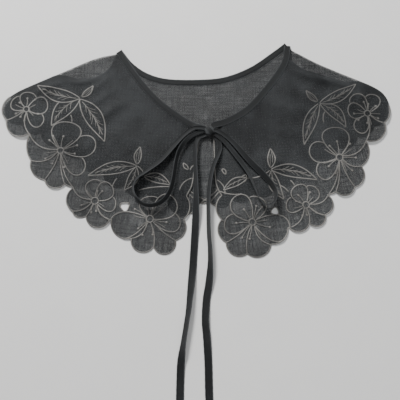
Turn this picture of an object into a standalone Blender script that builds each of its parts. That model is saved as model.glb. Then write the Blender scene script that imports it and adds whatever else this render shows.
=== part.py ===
"""A lace shoulder collar laid flat on a surface.

The sheer back lies lowest.  The two fronts turn over from it at the shoulder folds and lie on it, with
their flower petals as the scalloped edge.  A folded tape binds the neckline and ends in a tied bow with
two long free ends.  X is to the right, Y runs from the front hem to the back neckline and Z is up.
"""
from collections import namedtuple
import math

import bmesh
import bpy
from mathutils import Vector
from mathutils.geometry import delaunay_2d_cdt
import numpy as np

MM = 0.001

# Driving sizes, in millimetres.
CLOTH = 1.0            # wall of each embroidered panel
GAP = 0.3              # clearance between neighbouring pieces
BINDING_WIDTH = 7.5    # folded tape round the neckline
BINDING_THICK = 1.2
TIE_WIDTH = 8.4        # the same tape, free of the neckline
TIE_THICK = 1.0
FRONT_LEVEL = BINDING_THICK + GAP      # underside of the fronts where they lie on the back
TIE_LEVEL = FRONT_LEVEL + CLOTH + GAP  # underside of the bow where it lies on the fronts
FALL_START = 3.0       # how far past the back's edge a front begins to drop to the surface
FALL_RUN = 15.0        # how far it takes to reach the surface
EDGE_STEP = 4.0        # spacing of the points along an outline
FRONT_GRID = 10.0      # spacing of the points inside a front
BACK_GRID = 26.0       # spacing of the points inside the flat back
TIE_STEP = 4.5         # spacing of the sections along a tie
HOLE_SIDES = 10
MIDDLE = (0.5, 3.1)    # middle of the cloth and its neck tape, which is the object's origin in plan

# The petals whose round ends make the scalloped edge, in order along that edge.
Lobe = namedtuple("Lobe", "flower x y radius")

LEFT_LOBES = (
    Lobe("shoulder", -206.0, 47.0, 19.0),
    Lobe("shoulder", -201.0, 30.0, 17.5),
    Lobe("side", -164.0, 3.0, 29.5),
    Lobe("side", -168.0, -19.0, 19.5),
    Lobe("side", -157.0, -34.0, 14.0),
    Lobe("side", -137.5, -32.5, 14.0),
    Lobe("small", -128.5, -60.0, 16.2),
    Lobe("small", -127.0, -71.0, 10.5),
    Lobe("small", -107.5, -78.5, 14.3),
    Lobe("small", -97.0, -72.0, 12.0),
    Lobe("centre", -75.5, -87.0, 18.0),
    Lobe("centre", -57.0, -106.0, 14.0),
    Lobe("centre", -34.0, -109.0, 13.0),
    Lobe("centre", -25.5, -91.5, 15.6),
    Lobe("centre", -25.4, -68.4, 19.9),
)
RIGHT_LOBES = (
    Lobe("centre", 39.9, -69.4, 17.7),
    Lobe("centre", 41.0, -94.0, 16.8),
    Lobe("centre", 48.0, -109.5, 14.8),
    Lobe("centre", 67.0, -109.0, 16.3),
    Lobe("centre", 84.0, -92.5, 18.6),
    Lobe("small", 113.0, -84.0, 13.5),
    Lobe("small", 133.5, -80.5, 11.0),
    Lobe("small", 140.0, -65.5, 13.5),
    Lobe("side", 149.0, -42.5, 12.5),
    Lobe("side", 166.5, -43.5, 13.0),
    Lobe("side", 174.5, -31.0, 16.5),
    Lobe("side", 178.0, -4.0, 20.5),
    Lobe("shoulder", 201.0, 24.5, 17.8),
    Lobe("shoulder", 204.5, 46.0, 21.5),
)
BACK_LOBES = (
    Lobe("shoulder", -204.0, 46.0, 18.0),
    Lobe("shoulder", -185.0, 32.0, 16.0),
    Lobe("side", -161.0, 19.0, 17.0),
    Lobe("side", -136.0, 5.0, 17.0),
    Lobe("side", -112.0, -14.0, 17.0),
    Lobe("small", -88.0, -31.0, 16.0),
    Lobe("small", -65.0, -43.0, 14.5),
    Lobe("centre", -41.0, -50.0, 14.0),
    Lobe("centre", -13.0, -60.0, 18.5),
    Lobe("centre", 9.0, -53.0, 12.5),
    Lobe("centre", 28.0, -54.5, 15.0),
    Lobe("centre", 51.0, -50.0, 14.0),
    Lobe("small", 75.0, -43.0, 14.5),
    Lobe("small", 98.0, -31.0, 16.0),
    Lobe("side", 121.0, -15.0, 17.0),
    Lobe("side", 145.0, 2.0, 17.0),
    Lobe("side", 169.0, 16.0, 17.0),
    Lobe("shoulder", 190.0, 29.0, 16.0),
    Lobe("shoulder", 204.0, 46.0, 20.0),
)

# A see-through eyelet between two flowers in each front: a triangle with round corners, the first of
# them in the direction of its turn in degrees.
Eyelet = namedtuple("Eyelet", "x y radius turn")
LEFT_EYELET = Eyelet(-78.6, -68.4, 4.4, 36.0)
RIGHT_EYELET = Eyelet(88.2, -73.6, 3.6, 78.0)
EYELET_CORNERS = 0.12  # how far the corners stand out, as a share of the radius

# Curves through a few points each.  The folds run from the neck to the tip of the shoulder.
Place = namedtuple("Place", "x y")
LEFT_FOLD = (
    Place(-110.0, 113.6), Place(-125.0, 108.4), Place(-152.6, 95.4), Place(-177.0, 83.9),
    Place(-205.0, 70.2), Place(-217.0, 62.2),
)
RIGHT_FOLD = (
    Place(126.0, 115.0), Place(141.0, 106.3), Place(159.0, 97.4), Place(182.0, 87.0),
    Place(203.0, 77.4), Place(216.0, 69.4), Place(222.2, 61.4), Place(225.0, 53.6),
)
# Each front turns under itself a little below the shoulder fold, and meets the fold further out.
LEFT_TURN = (
    Place(-98.0, 108.0), Place(-104.0, 96.5), Place(-120.0, 86.5), Place(-140.0, 85.5),
    Place(-153.0, 89.0), Place(-164.0, 89.5), *LEFT_FOLD[3:],
)
RIGHT_TURN = (
    Place(114.0, 108.0), Place(127.0, 97.5), Place(145.0, 91.4), Place(162.0, 85.5),
    Place(176.0, 81.5), Place(190.0, 82.0), *RIGHT_FOLD[4:],
)
LEFT_FRONT_NECK = (
    Place(-91.5, 119.6), Place(-79.0, 99.9), Place(-63.0, 77.8), Place(-44.0, 56.4),
    Place(-25.0, 41.0), Place(-8.0, 29.2), Place(7.5, 22.6),
)
RIGHT_FRONT_NECK = (
    Place(109.4, 127.2), Place(106.5, 108.6), Place(97.0, 90.6), Place(77.5, 65.0),
    Place(60.0, 46.2), Place(40.0, 33.6), Place(20.5, 26.0),
)
BACK_NECK = (
    Place(-91.0, 119.6), Place(-77.0, 102.0), Place(-58.0, 88.6), Place(-33.0, 81.4),
    Place(5.0, 80.6), Place(36.0, 84.2), Place(67.0, 97.2), Place(94.0, 116.6), Place(108.0, 127.6),
)
LEFT_OPENING = (
    Place(-8.0, -54.0), Place(-3.4, -44.0), Place(-0.4, -24.0), Place(2.6, -4.0), Place(5.0, 12.0),
)
RIGHT_OPENING = (
    Place(20.0, 16.0), Place(20.6, -6.0), Place(21.0, -28.0), Place(22.6, -43.0), Place(27.0, -54.0),
)

# The largest soft folds: ridges along a line that fade out at both ends.
Ridge = namedtuple("Ridge", "x1 y1 x2 y2 height width")
LEFT_RIDGES = (
    Ridge(-112.0, 98.0, -168.0, 58.0, 2.2, 8.0),
    Ridge(-70.0, 60.0, -118.0, 24.0, 1.4, 9.0),
)
RIGHT_RIDGES = (
    Ridge(128.0, 100.0, 186.0, 70.0, 2.4, 7.0),
    Ridge(60.0, 32.0, 118.0, 6.0, 1.6, 7.0),
    Ridge(102.0, 78.0, 112.0, 26.0, 1.2, 10.0),
)

# The bow.  A route row gives the middle of the flat tape in plan, the height of its lowest edge and how
# far it is turned on edge, in degrees: a turn above zero lifts the edge to the left of its run.
Route = namedtuple("Route", "x y rest turn")
LEFT_LOOP = (
    Route(8.2, 22.4, 5.6, 0.0),
    Route(-3.0, 21.8, 5.5, 4.0),
    Route(-13.4, 14.0, 4.4, 12.0),
    Route(-24.0, 2.0, 3.1, 24.0),
    Route(-39.0, -16.0, 2.9, 38.0),
    Route(-55.0, -29.0, 2.9, 52.0),
    Route(-65.0, -37.0, 2.9, 62.0),
    Route(-69.3, -47.0, 2.9, 68.0),
    Route(-66.5, -58.0, 2.9, 71.0),
    Route(-57.5, -66.5, 2.9, 72.0),
    Route(-46.0, -67.8, 2.9, 71.0),
    Route(-35.5, -62.5, 2.9, 68.0),
    Route(-28.2, -51.5, 2.9, 64.0),
    Route(-24.5, -37.0, 2.9, 58.0),
    Route(-22.6, -22.0, 2.9, 60.0),
    Route(-19.6, -8.0, 3.1, 52.0),
    Route(-13.0, 4.5, 3.7, 24.0),
    Route(-4.5, 13.0, 4.1, 2.0),
    Route(7.8, 18.6, 4.2, 0.0),
)
RIGHT_LOOP = (
    Route(23.9, 14.2, 4.2, 0.0),
    Route(33.6, 5.4, 4.1, -2.0),
    Route(46.0, -10.5, 3.4, -16.0),
    Route(56.6, -26.0, 2.9, -38.0),
    Route(62.6, -39.0, 2.9, -58.0),
    Route(66.8, -50.6, 2.9, -71.0),
    Route(71.4, -61.6, 2.9, -77.0),
    Route(79.2, -67.8, 2.9, -78.0),
    Route(87.0, -63.6, 2.9, -76.0),
    Route(88.8, -53.6, 2.9, -70.0),
    Route(84.2, -43.5, 2.9, -58.0),
    Route(75.6, -32.7, 2.9, -44.0),
    Route(65.0, -21.5, 3.5, -32.0),
    Route(54.5, -9.5, 4.8, -16.0),
    Route(45.0, 2.0, 5.5, -6.0),
    Route(34.5, 12.4, 5.7, 0.0),
    Route(24.2, 19.2, 5.6, 0.0),
)
LEFT_END = (
    Route(9.2, 14.2, 2.9, 0.0),
    Route(3.4, 11.4, 2.9, 3.0),
    Route(0.4, 4.0, 2.9, 22.0),
    Route(-0.6, -6.0, 2.9, 36.0),
    Route(-0.2, -22.0, 2.9, 42.0),
    Route(0.4, -38.0, 2.9, 42.0),
    Route(0.6, -54.0, 2.7, 38.0),
    Route(0.5, -70.0, 1.8, 28.0),
    Route(0.1, -86.0, 0.8, 14.0),
    Route(-0.6, -100.0, 0.1, 4.0),
    Route(-2.1, -127.0, 0.0, 0.0),
    Route(-3.4, -144.0, 0.0, 8.0),
    Route(-5.7, -167.0, 0.0, 36.0),
    Route(-7.3, -182.0, 0.0, 46.0),
    Route(-9.2, -194.0, 0.0, 50.0),
    Route(-12.6, -216.0, 0.0, 46.0),
    Route(-14.7, -234.0, 0.0, 12.0),
    Route(-15.3, -254.0, 0.0, 0.0),
    Route(-15.5, -276.0, 0.0, 0.0),
    Route(-15.4, -306.0, 0.0, 0.0),
)
RIGHT_END = (
    Route(23.2, 10.8, 2.9, 0.0),
    Route(27.0, 5.0, 2.9, 0.0),
    Route(27.6, -2.0, 2.9, 2.0),
    Route(24.6, -11.0, 2.9, 20.0),
    Route(20.0, -22.9, 2.5, 40.0),
    Route(16.9, -36.4, 1.9, 48.0),
    Route(15.1, -49.5, 1.6, 54.0),
    Route(14.2, -66.0, 1.4, 60.0),
    Route(14.2, -80.0, 0.8, 62.0),
    Route(14.6, -97.0, 0.1, 60.0),
    Route(15.9, -116.0, 0.0, 56.0),
    Route(16.1, -133.0, 0.0, 46.0),
    Route(14.6, -153.0, 0.0, 16.0),
    Route(12.0, -170.0, 0.0, 2.0),
    Route(10.8, -192.0, 0.0, 14.0),
    Route(12.3, -210.0, 0.0, 10.0),
    Route(13.8, -236.0, 0.0, 0.0),
    Route(14.5, -268.0, 0.0, 0.0),
    Route(16.4, -298.0, 0.0, 0.0),
)

# The knot is a rounded block turned a little in plan.
KNOT_CENTRE = Place(15.8, 18.9)
KNOT_SIZE = np.array((11.0, 10.0, 5.4))
KNOT_TURN = 24.0
KNOT_SQUARENESS = 0.62
KNOT_RINGS = 8
KNOT_SIDES = 18

SHEER_BLACK = (0.030, 0.030, 0.031)
TAPE_BLACK = (0.016, 0.017, 0.018)


def clear_scene():
    for found in list(bpy.data.objects):
        bpy.data.objects.remove(found, do_unlink=True)


def cloth_material(name, colour, roughness):
    material = bpy.data.materials.new(name)
    material.use_nodes = True
    shader = material.node_tree.nodes["Principled BSDF"]
    shader.inputs["Base Color"].default_value = (*colour, 1.0)
    shader.inputs["Roughness"].default_value = roughness
    shader.inputs["Metallic"].default_value = 0.0
    return material


def add_object(name, points, faces, colour, roughness):
    """One closed piece, from points in millimetres and faces that look outwards."""
    placed = (np.asarray(points) - (*MIDDLE, 0.0)) * MM
    mesh = bpy.data.meshes.new(name)
    mesh.from_pydata([tuple(point) for point in placed], [], faces)
    mesh.materials.append(cloth_material(name, colour, roughness))
    mesh.validate()
    piece = bpy.data.objects.new(name, mesh)
    bpy.context.scene.collection.objects.link(piece)
    return piece


def smooth_curve(rows, step):
    """Catmull-Rom curve through the rows, sampled about every step along it."""
    rows = np.array(rows, dtype=float)
    padded = np.vstack([2 * rows[0] - rows[1], rows, 2 * rows[-1] - rows[-2]])
    samples = []
    for before, start, end, after in zip(padded, padded[1:], padded[2:], padded[3:]):
        count = max(1, round(float(np.linalg.norm((end - start)[:3])) / step))
        share = np.arange(count)[:, None] / count
        samples.append(0.5 * (
            2 * start + (end - before) * share
            + (2 * before - 5 * start + 4 * end - after) * share ** 2
            + (3 * start - before - 3 * end + after) * share ** 3))
    return np.vstack([*samples, rows[-1:]])


def side_directions(line):
    """Unit vectors in plan, to the left of the way the line runs."""
    ahead = np.gradient(line[:, :2], axis=0)
    ahead /= np.linalg.norm(ahead, axis=1)[:, None]
    return np.column_stack([-ahead[:, 1], ahead[:, 0]])


def beside(line, distance):
    """The line moved sideways in plan, to its left where the distance is positive."""
    return line[:, :2] + side_directions(line) * distance


def notch(first, second):
    """Where two petals' circles cross, on the side to the right of the way from first to second."""
    start = np.array((first.x, first.y))
    along = np.array((second.x, second.y)) - start
    apart = float(np.linalg.norm(along))
    along /= apart
    near = (first.radius ** 2 - second.radius ** 2 + apart ** 2) / (2 * apart)
    out = math.sqrt(first.radius ** 2 - near ** 2)
    return start + near * along + out * np.array((along[1], -along[0]))


def scallops(lobes, start, end):
    """Arcs along the petals' outer sides, from the point start to the point end."""
    corners = [start, *(notch(first, second) for first, second in zip(lobes, lobes[1:])), end]
    samples = []
    for lobe, begin, finish in zip(lobes, corners, corners[1:]):
        centre = np.array((lobe.x, lobe.y))
        first = math.atan2(*(begin - centre)[::-1])
        last = math.atan2(*(finish - centre)[::-1])
        sweep = (last - first) % math.tau
        count = max(2, round(sweep * lobe.radius / EDGE_STEP))
        angles = first + sweep * np.arange(count) / count
        samples.append(centre + lobe.radius * np.column_stack([np.cos(angles), np.sin(angles)]))
    return np.vstack(samples)


def on_lobe(lobe, target):
    """The point of the petal's circle that is nearest to the target."""
    centre = np.array((lobe.x, lobe.y))
    away = np.array(target[:2]) - centre
    return centre + away * lobe.radius / np.linalg.norm(away)


def eyelet_outline(eyelet):
    """A circle drawn out at three corners."""
    angles = np.arange(HOLE_SIDES) * math.tau / HOLE_SIDES
    centre = np.array((eyelet.x, eyelet.y))
    reach = eyelet.radius * (1.0 + EYELET_CORNERS * np.cos(3.0 * (angles - math.radians(eyelet.turn))))
    return centre + reach[:, None] * np.column_stack([np.cos(angles), np.sin(angles)])


def inside(points, outline):
    """True for each point inside the closed outline, by counting the sides that a ray crosses."""
    x, y = points[:, 0][:, None], points[:, 1][:, None]
    start, end = outline, np.roll(outline, -1, axis=0)
    spans = (start[:, 1] > y) != (end[:, 1] > y)
    rise = np.where(end[:, 1] == start[:, 1], 1.0, end[:, 1] - start[:, 1])
    crossing = start[:, 0] + (y - start[:, 1]) * (end[:, 0] - start[:, 0]) / rise
    return (spans & (x < crossing)).sum(axis=1) % 2 == 1


def distance_to_segments(points, start, end):
    """Distance from each point to the nearest of the straight segments."""
    along = end - start
    offset = points[:, None, :] - start
    share = np.clip((offset * along).sum(axis=2) / (along ** 2).sum(axis=1), 0.0, 1.0)
    return np.linalg.norm(offset - share[:, :, None] * along, axis=2).min(axis=1)


def distance_to_outline(points, outline):
    return distance_to_segments(points, outline, np.roll(outline, -1, axis=0))


def ridge_heights(points, ridges):
    """Each ridge is a round swell across its line, and fades out along it as a sine arch."""
    heights = np.zeros(len(points))
    for ridge in ridges:
        start = np.array((ridge.x1, ridge.y1))
        along = np.array((ridge.x2, ridge.y2)) - start
        length = float(np.linalg.norm(along))
        along /= length
        offset = points - start
        share = np.clip(offset @ along / length, 0.0, 1.0)
        across = offset @ np.array((-along[1], along[0]))
        heights += ridge.height * np.sin(math.pi * share) * np.exp(-(across / ridge.width) ** 2)
    return heights


def front_heights(points, back_outline, ridges):
    """A front lies on the back, and past the back's edge it eases down to the surface."""
    past = np.where(inside(points, back_outline), 0.0, distance_to_outline(points, back_outline))
    share = np.clip((past - FALL_START) / FALL_RUN, 0.0, 1.0)
    lying = FRONT_LEVEL * (1.0 - share ** 2 * (3.0 - 2.0 * share))
    return lying + ridge_heights(points, ridges)


def grid_inside(outline, holes, spacing):
    """Points on a square grid inside the outline, clear of its edge and of the holes."""
    low, high = outline.min(axis=0), outline.max(axis=0)
    across = np.arange(low[0] + spacing / 2, high[0], spacing)
    up = np.arange(low[1] + spacing / 2, high[1], spacing)
    points = np.stack(np.meshgrid(across, up), axis=-1).reshape(-1, 2)
    keep = inside(points, outline) & (distance_to_outline(points, outline) > spacing * 0.45)
    for hole in holes:
        keep &= ~inside(points, hole) & (distance_to_outline(points, hole) > spacing * 0.3)
    return points[keep]


def triangulate(outline, holes, spacing):
    """The flat pattern of a panel: its points, its triangles and the edges round its rims."""
    loops = [outline, *holes]
    rims = []
    for loop in loops:
        first = sum(len(earlier) for earlier in loops[:len(rims)])
        rims.append([(first + i, first + (i + 1) % len(loop)) for i in range(len(loop))])
    edges = [edge for rim in rims for edge in rim]
    flat = np.vstack([*loops, grid_inside(outline, holes, spacing)])
    points, _, faces, *_ = delaunay_2d_cdt([Vector(point) for point in flat], edges, [], 0, 1e-4)
    points = np.array([tuple(point) for point in points])
    faces = np.array(faces)
    middles = points[faces].mean(axis=1)
    keep = inside(middles, outline)
    for hole in holes:
        keep &= ~inside(middles, hole)
    return points, faces[keep]


def panel(name, outline, holes, spacing, heights):
    """A cloth wall: the flat pattern at its heights, the same pattern above it, and its cut edges."""
    flat, faces = triangulate(outline, holes, spacing)
    under = np.column_stack([flat, heights(flat)])
    over = under + (0.0, 0.0, CLOTH)
    count = len(flat)
    top = [tuple(int(corner) + count for corner in face) for face in faces]
    bottom = [tuple(int(corner) for corner in face[::-1]) for face in faces]
    sides = {(int(face[i]), int(face[(i + 1) % 3])) for face in faces for i in range(3)}
    walls = [(a, b, b + count, a + count) for a, b in sorted(sides) if (b, a) not in sides]
    return add_object(name, np.vstack([under, over]), top + bottom + walls, SHEER_BLACK, 0.75)


def strip(name, rings, colour):
    """A closed solid through rings of four corners each, with a flat cap at either end."""
    rings = np.asarray(rings)
    count, corners = rings.shape[:2]
    faces = []
    for ring in range(count - 1):
        for corner in range(corners):
            here = ring * corners + corner
            following = ring * corners + (corner + 1) % corners
            faces.append((here, following, following + corners, here + corners))
    faces.append(tuple(reversed(range(corners))))
    faces.append(tuple(range((count - 1) * corners, count * corners)))
    return add_object(name, rings.reshape(-1, 3), faces, colour, 0.6)


def binding(name, neck, level):
    """The neck tape: a flat strip to either side of its middle line."""
    line = smooth_curve(neck, EDGE_STEP)
    left = beside(line, BINDING_WIDTH / 2)
    right = beside(line, -BINDING_WIDTH / 2)
    low = np.full((len(line), 1), level)
    high = low + BINDING_THICK
    rings = np.stack([
        np.hstack([right, low]), np.hstack([left, low]),
        np.hstack([left, high]), np.hstack([right, high])], axis=1)
    return strip(name, rings, TAPE_BLACK)


def tie(name, route):
    """A free stretch of tape: a flat section along the route, turned about the way it runs."""
    line = smooth_curve(route, TIE_STEP)
    turn = np.radians(line[:, 3])[:, None]
    side = np.column_stack([side_directions(line), np.zeros(len(line))])
    up = np.array((0.0, 0.0, 1.0))
    half_rise = np.abs(np.sin(turn)) * TIE_WIDTH / 2 + np.cos(turn) * TIE_THICK / 2
    middle = np.hstack([line[:, :2], np.maximum(line[:, 2:3], 0.0) + half_rise])
    across = side * np.cos(turn) + up * np.sin(turn)
    above = up * np.cos(turn) - side * np.sin(turn)
    wide = across * TIE_WIDTH / 2
    thick = above * TIE_THICK / 2
    rings = np.stack([
        middle - wide - thick, middle + wide - thick,
        middle + wide + thick, middle - wide + thick], axis=1)
    return strip(name, rings, TAPE_BLACK)


def knot(name):
    """A rounded block: a globe whose points are drawn out towards a box."""
    bm = bmesh.new()
    bmesh.ops.create_uvsphere(bm, u_segments=KNOT_SIDES, v_segments=KNOT_RINGS, radius=1.0)
    globe = np.array([tuple(vert.co) for vert in bm.verts])
    faces = [tuple(vert.index for vert in face.verts) for face in bm.faces]
    bm.free()
    x, y, z = (np.sign(globe) * np.abs(globe) ** KNOT_SQUARENESS * KNOT_SIZE / 2).T
    turn = math.radians(KNOT_TURN)
    points = np.column_stack([
        KNOT_CENTRE.x + x * math.cos(turn) - y * math.sin(turn),
        KNOT_CENTRE.y + x * math.sin(turn) + y * math.cos(turn),
        TIE_LEVEL + KNOT_SIZE[2] / 2 + z])
    piece = add_object(name, points, faces, TAPE_BLACK, 0.6)
    piece.data.shade_smooth()


def neck_edge(neck, side):
    """The cloth's edge beside the neck tape: side is 1 to the left of its run and -1 to the right."""
    return beside(smooth_curve(neck, EDGE_STEP), side * (BINDING_WIDTH / 2 + GAP))


def back_outline():
    """Right round the back: scallops, right fold, neckline, left fold."""
    left_fold = smooth_curve(LEFT_FOLD, EDGE_STEP)
    right_fold = smooth_curve(RIGHT_FOLD, EDGE_STEP)
    start = on_lobe(BACK_LOBES[0], LEFT_FOLD[-1])
    end = on_lobe(BACK_LOBES[-1], RIGHT_FOLD[-1])
    hem = scallops(BACK_LOBES, start, end)
    neck = neck_edge(BACK_NECK, -1)
    return np.vstack([hem, right_fold[::-1], neck[::-1], left_fold])


def left_outline():
    """Right round the left front: shoulder edge, scallops, front opening, neckline."""
    shoulder = smooth_curve(LEFT_TURN, EDGE_STEP)
    opening = smooth_curve(LEFT_OPENING, EDGE_STEP)
    start = on_lobe(LEFT_LOBES[0], LEFT_FOLD[-1])
    end = on_lobe(LEFT_LOBES[-1], LEFT_OPENING[0])
    hem = scallops(LEFT_LOBES, start, end)
    neck = neck_edge(LEFT_FRONT_NECK, -1)
    return np.vstack([shoulder, hem, opening, neck[::-1]])


def right_outline():
    """Right round the right front: scallops, shoulder edge, neckline, front opening."""
    shoulder = smooth_curve(RIGHT_TURN, EDGE_STEP)
    opening = smooth_curve(RIGHT_OPENING, EDGE_STEP)
    start = on_lobe(RIGHT_LOBES[0], RIGHT_OPENING[-1])
    end = on_lobe(RIGHT_LOBES[-1], RIGHT_FOLD[-1])
    hem = scallops(RIGHT_LOBES, start, end)
    neck = neck_edge(RIGHT_FRONT_NECK, 1)
    return np.vstack([hem, shoulder[::-1], neck, opening])


def main():
    clear_scene()
    back = back_outline()
    panel("back_panel", back, [], BACK_GRID, lambda points: np.zeros(len(points)))
    panel("front_left", left_outline(), [eyelet_outline(LEFT_EYELET)], FRONT_GRID,
          lambda points: front_heights(points, back, LEFT_RIDGES))
    panel("front_right", right_outline(), [eyelet_outline(RIGHT_EYELET)], FRONT_GRID,
          lambda points: front_heights(points, back, RIGHT_RIDGES))
    binding("binding_back", BACK_NECK, 0.0)
    binding("binding_front_left", LEFT_FRONT_NECK, FRONT_LEVEL)
    binding("binding_front_right", RIGHT_FRONT_NECK, FRONT_LEVEL)
    tie("bow_loop_left", LEFT_LOOP)
    tie("bow_loop_right", RIGHT_LOOP)
    tie("tie_end_left", LEFT_END)
    tie("tie_end_right", RIGHT_END)
    knot("bow_knot")


main()
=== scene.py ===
"""The look of a lace shoulder collar laid flat on a surface.

Sheer organza in three panels, satin-stitched flowers and leaves, a folded tape round the neckline and a
tied bow with two free ends.  Every table is in millimetres on the plan of the collar as it lies, with X
to the right and Y from the front hem to the back neckline, and placed() takes it to the frame's metres.
"""
from collections import namedtuple
from functools import lru_cache
import math

import bpy
from bpy.props import FloatProperty, FloatVectorProperty, PointerProperty
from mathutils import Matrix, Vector
from mathutils.geometry import delaunay_2d_cdt
import numpy as np


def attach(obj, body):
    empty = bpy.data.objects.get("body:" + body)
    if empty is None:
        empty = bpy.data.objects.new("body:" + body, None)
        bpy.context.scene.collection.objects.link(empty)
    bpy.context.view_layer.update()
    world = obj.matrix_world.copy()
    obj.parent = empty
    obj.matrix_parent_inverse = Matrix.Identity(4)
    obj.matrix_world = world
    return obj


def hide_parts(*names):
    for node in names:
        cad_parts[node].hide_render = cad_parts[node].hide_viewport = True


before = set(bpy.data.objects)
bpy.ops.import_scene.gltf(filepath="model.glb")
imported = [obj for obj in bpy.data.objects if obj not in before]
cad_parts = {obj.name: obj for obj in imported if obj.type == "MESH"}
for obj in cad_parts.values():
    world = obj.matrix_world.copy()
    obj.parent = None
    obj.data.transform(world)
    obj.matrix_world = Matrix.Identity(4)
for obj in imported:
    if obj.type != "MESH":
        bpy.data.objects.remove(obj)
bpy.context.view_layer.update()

bl_info = {
    "name": "Lace Shoulder Collar",
    "version": (1, 0, 0),
    "blender": (4, 5, 0),
    "location": "3D View > Sidebar > Lace Collar",
    "description": "Builds a sheer embroidered collar with a folded tape and a tied bow",
    "category": "Add Mesh",
}

MM = 0.001
UP = np.array((0.0, 0.0, 1.0))
MIDDLE = (0.5, 3.1)      # middle of the cloth and its neck tape, which is the frame's origin in plan

# Heights in millimetres: the middle of each cloth, where it lies flat.
FLOOR_LIE = 0.66         # cloth on the surface
FRONT_LIE = 1.98         # a front where it lies on the back
TURN_CLEAR = 0.5         # how far inside a front's shoulder edge its turned-in strip begins
TURN_DROP = 0.42         # how far below the front the strip begins, and how much lower it gets
TURN_SINK = 0.22
TURN_POINTS = 7          # points across the strip
FALL_START = 3.0         # how far past the back's edge a front begins to drop to the surface
FALL_RUN = 15.0          # how far it takes to reach the surface
FOLD_CALM = 9.0          # how far from a shoulder edge the creases die out
TAPE_WIDTH = 7.5         # folded tape round the neckline
TAPE_THICK = 1.2
TIE_WIDTH = 8.4          # the same tape, free of the neckline
TIE_THICK = 1.0
FRONT_LEVEL = 1.5        # underside of the neck tape on the fronts
NECK_GAP = 0.3           # how far the cloth's cut edge stays from the tape's

# Fineness of the meshes, in millimetres.
HEM_STEP = 1.3
CLOTH_GRID = 2.4
EDGE_ROWS = (0.12, 0.36, 0.75, 1.6)      # how far in from a panel's edge its closer rows of points are
BACK_STEP = 4.0          # coarse outline of the back, for finding how far past it a point is
STITCH_STEP = 1.15
TAPE_STEP = 1.6
BATCH = 1500             # points measured at one time, which keeps the arrays small


def table(kind, rows):
    """The rows as named tuples of one kind."""
    return tuple(kind(*row) for row in rows)


# The petals whose round ends make the scalloped edge, in order along that edge.
Lobe = namedtuple("Lobe", "flower x y radius")

LEFT_LOBES = table(Lobe, (
    ("shoulder", -206.0, 47.0, 19.0), ("shoulder", -201.0, 30.0, 17.5), ("side", -164.0, 3.0, 29.5),
    ("side", -168.0, -19.0, 19.5), ("side", -157.0, -34.0, 14.0), ("side", -137.5, -32.5, 14.0),
    ("small", -128.5, -60.0, 16.2), ("small", -127.0, -71.0, 10.5), ("small", -107.5, -78.5, 14.3),
    ("small", -97.0, -72.0, 12.0), ("centre", -75.5, -87.0, 18.0), ("centre", -57.0, -106.0, 14.0),
    ("centre", -34.0, -109.0, 13.0), ("centre", -25.5, -91.5, 15.6), ("centre", -25.4, -68.4, 19.9),
))
RIGHT_LOBES = table(Lobe, (
    ("centre", 39.9, -69.4, 17.7), ("centre", 41.0, -94.0, 16.8), ("centre", 48.0, -109.5, 14.8),
    ("centre", 67.0, -109.0, 16.3), ("centre", 84.0, -92.5, 18.6), ("small", 113.0, -84.0, 13.5),
    ("small", 133.5, -80.5, 11.0), ("small", 140.0, -65.5, 13.5), ("side", 149.0, -42.5, 12.5),
    ("side", 166.5, -43.5, 13.0), ("side", 174.5, -31.0, 16.5), ("side", 178.0, -4.0, 20.5),
    ("shoulder", 201.0, 24.5, 17.8), ("shoulder", 204.5, 46.0, 21.5),
))
BACK_LOBES = table(Lobe, (
    ("shoulder", -204.0, 46.0, 18.0), ("shoulder", -185.0, 32.0, 16.0),
    ("side", -161.0, 19.0, 17.0), ("side", -136.0, 5.0, 17.0), ("side", -112.0, -14.0, 17.0),
    ("small", -88.0, -31.0, 16.0), ("small", -65.0, -43.0, 14.5), ("centre", -41.0, -50.0, 14.0),
    ("centre", -13.0, -60.0, 18.5), ("centre", 9.0, -53.0, 12.5), ("centre", 28.0, -54.5, 15.0),
    ("centre", 51.0, -50.0, 14.0), ("small", 75.0, -43.0, 14.5), ("small", 98.0, -31.0, 16.0),
    ("side", 121.0, -15.0, 17.0), ("side", 145.0, 2.0, 17.0), ("side", 169.0, 16.0, 17.0),
    ("shoulder", 190.0, 29.0, 16.0), ("shoulder", 204.0, 46.0, 20.0),
))

# A see-through eyelet between two flowers in each front: a triangle with round corners, the first of
# them in the direction of its turn in degrees.
Eyelet = namedtuple("Eyelet", "x y radius turn")
LEFT_EYELET = Eyelet(-78.6, -68.4, 4.4, 36.0)
RIGHT_EYELET = Eyelet(88.2, -73.6, 3.6, 78.0)
EYELET_CORNERS = 0.12    # how far the corners stand out, as a share of the radius
EYELET_POINTS = 36

# Curves through a few points each.  The folds run from the neck to the tip of the shoulder.
Place = namedtuple("Place", "x y")
LEFT_FOLD = table(Place, (
    (-110.0, 113.6), (-125.0, 108.4), (-152.6, 95.4), (-177.0, 83.9), (-205.0, 70.2),
    (-217.0, 62.2),
))
RIGHT_FOLD = table(Place, (
    (126.0, 115.0), (141.0, 106.3), (159.0, 97.4), (182.0, 87.0), (203.0, 77.4), (216.0, 69.4),
    (222.2, 61.4), (225.0, 53.6),
))
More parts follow.
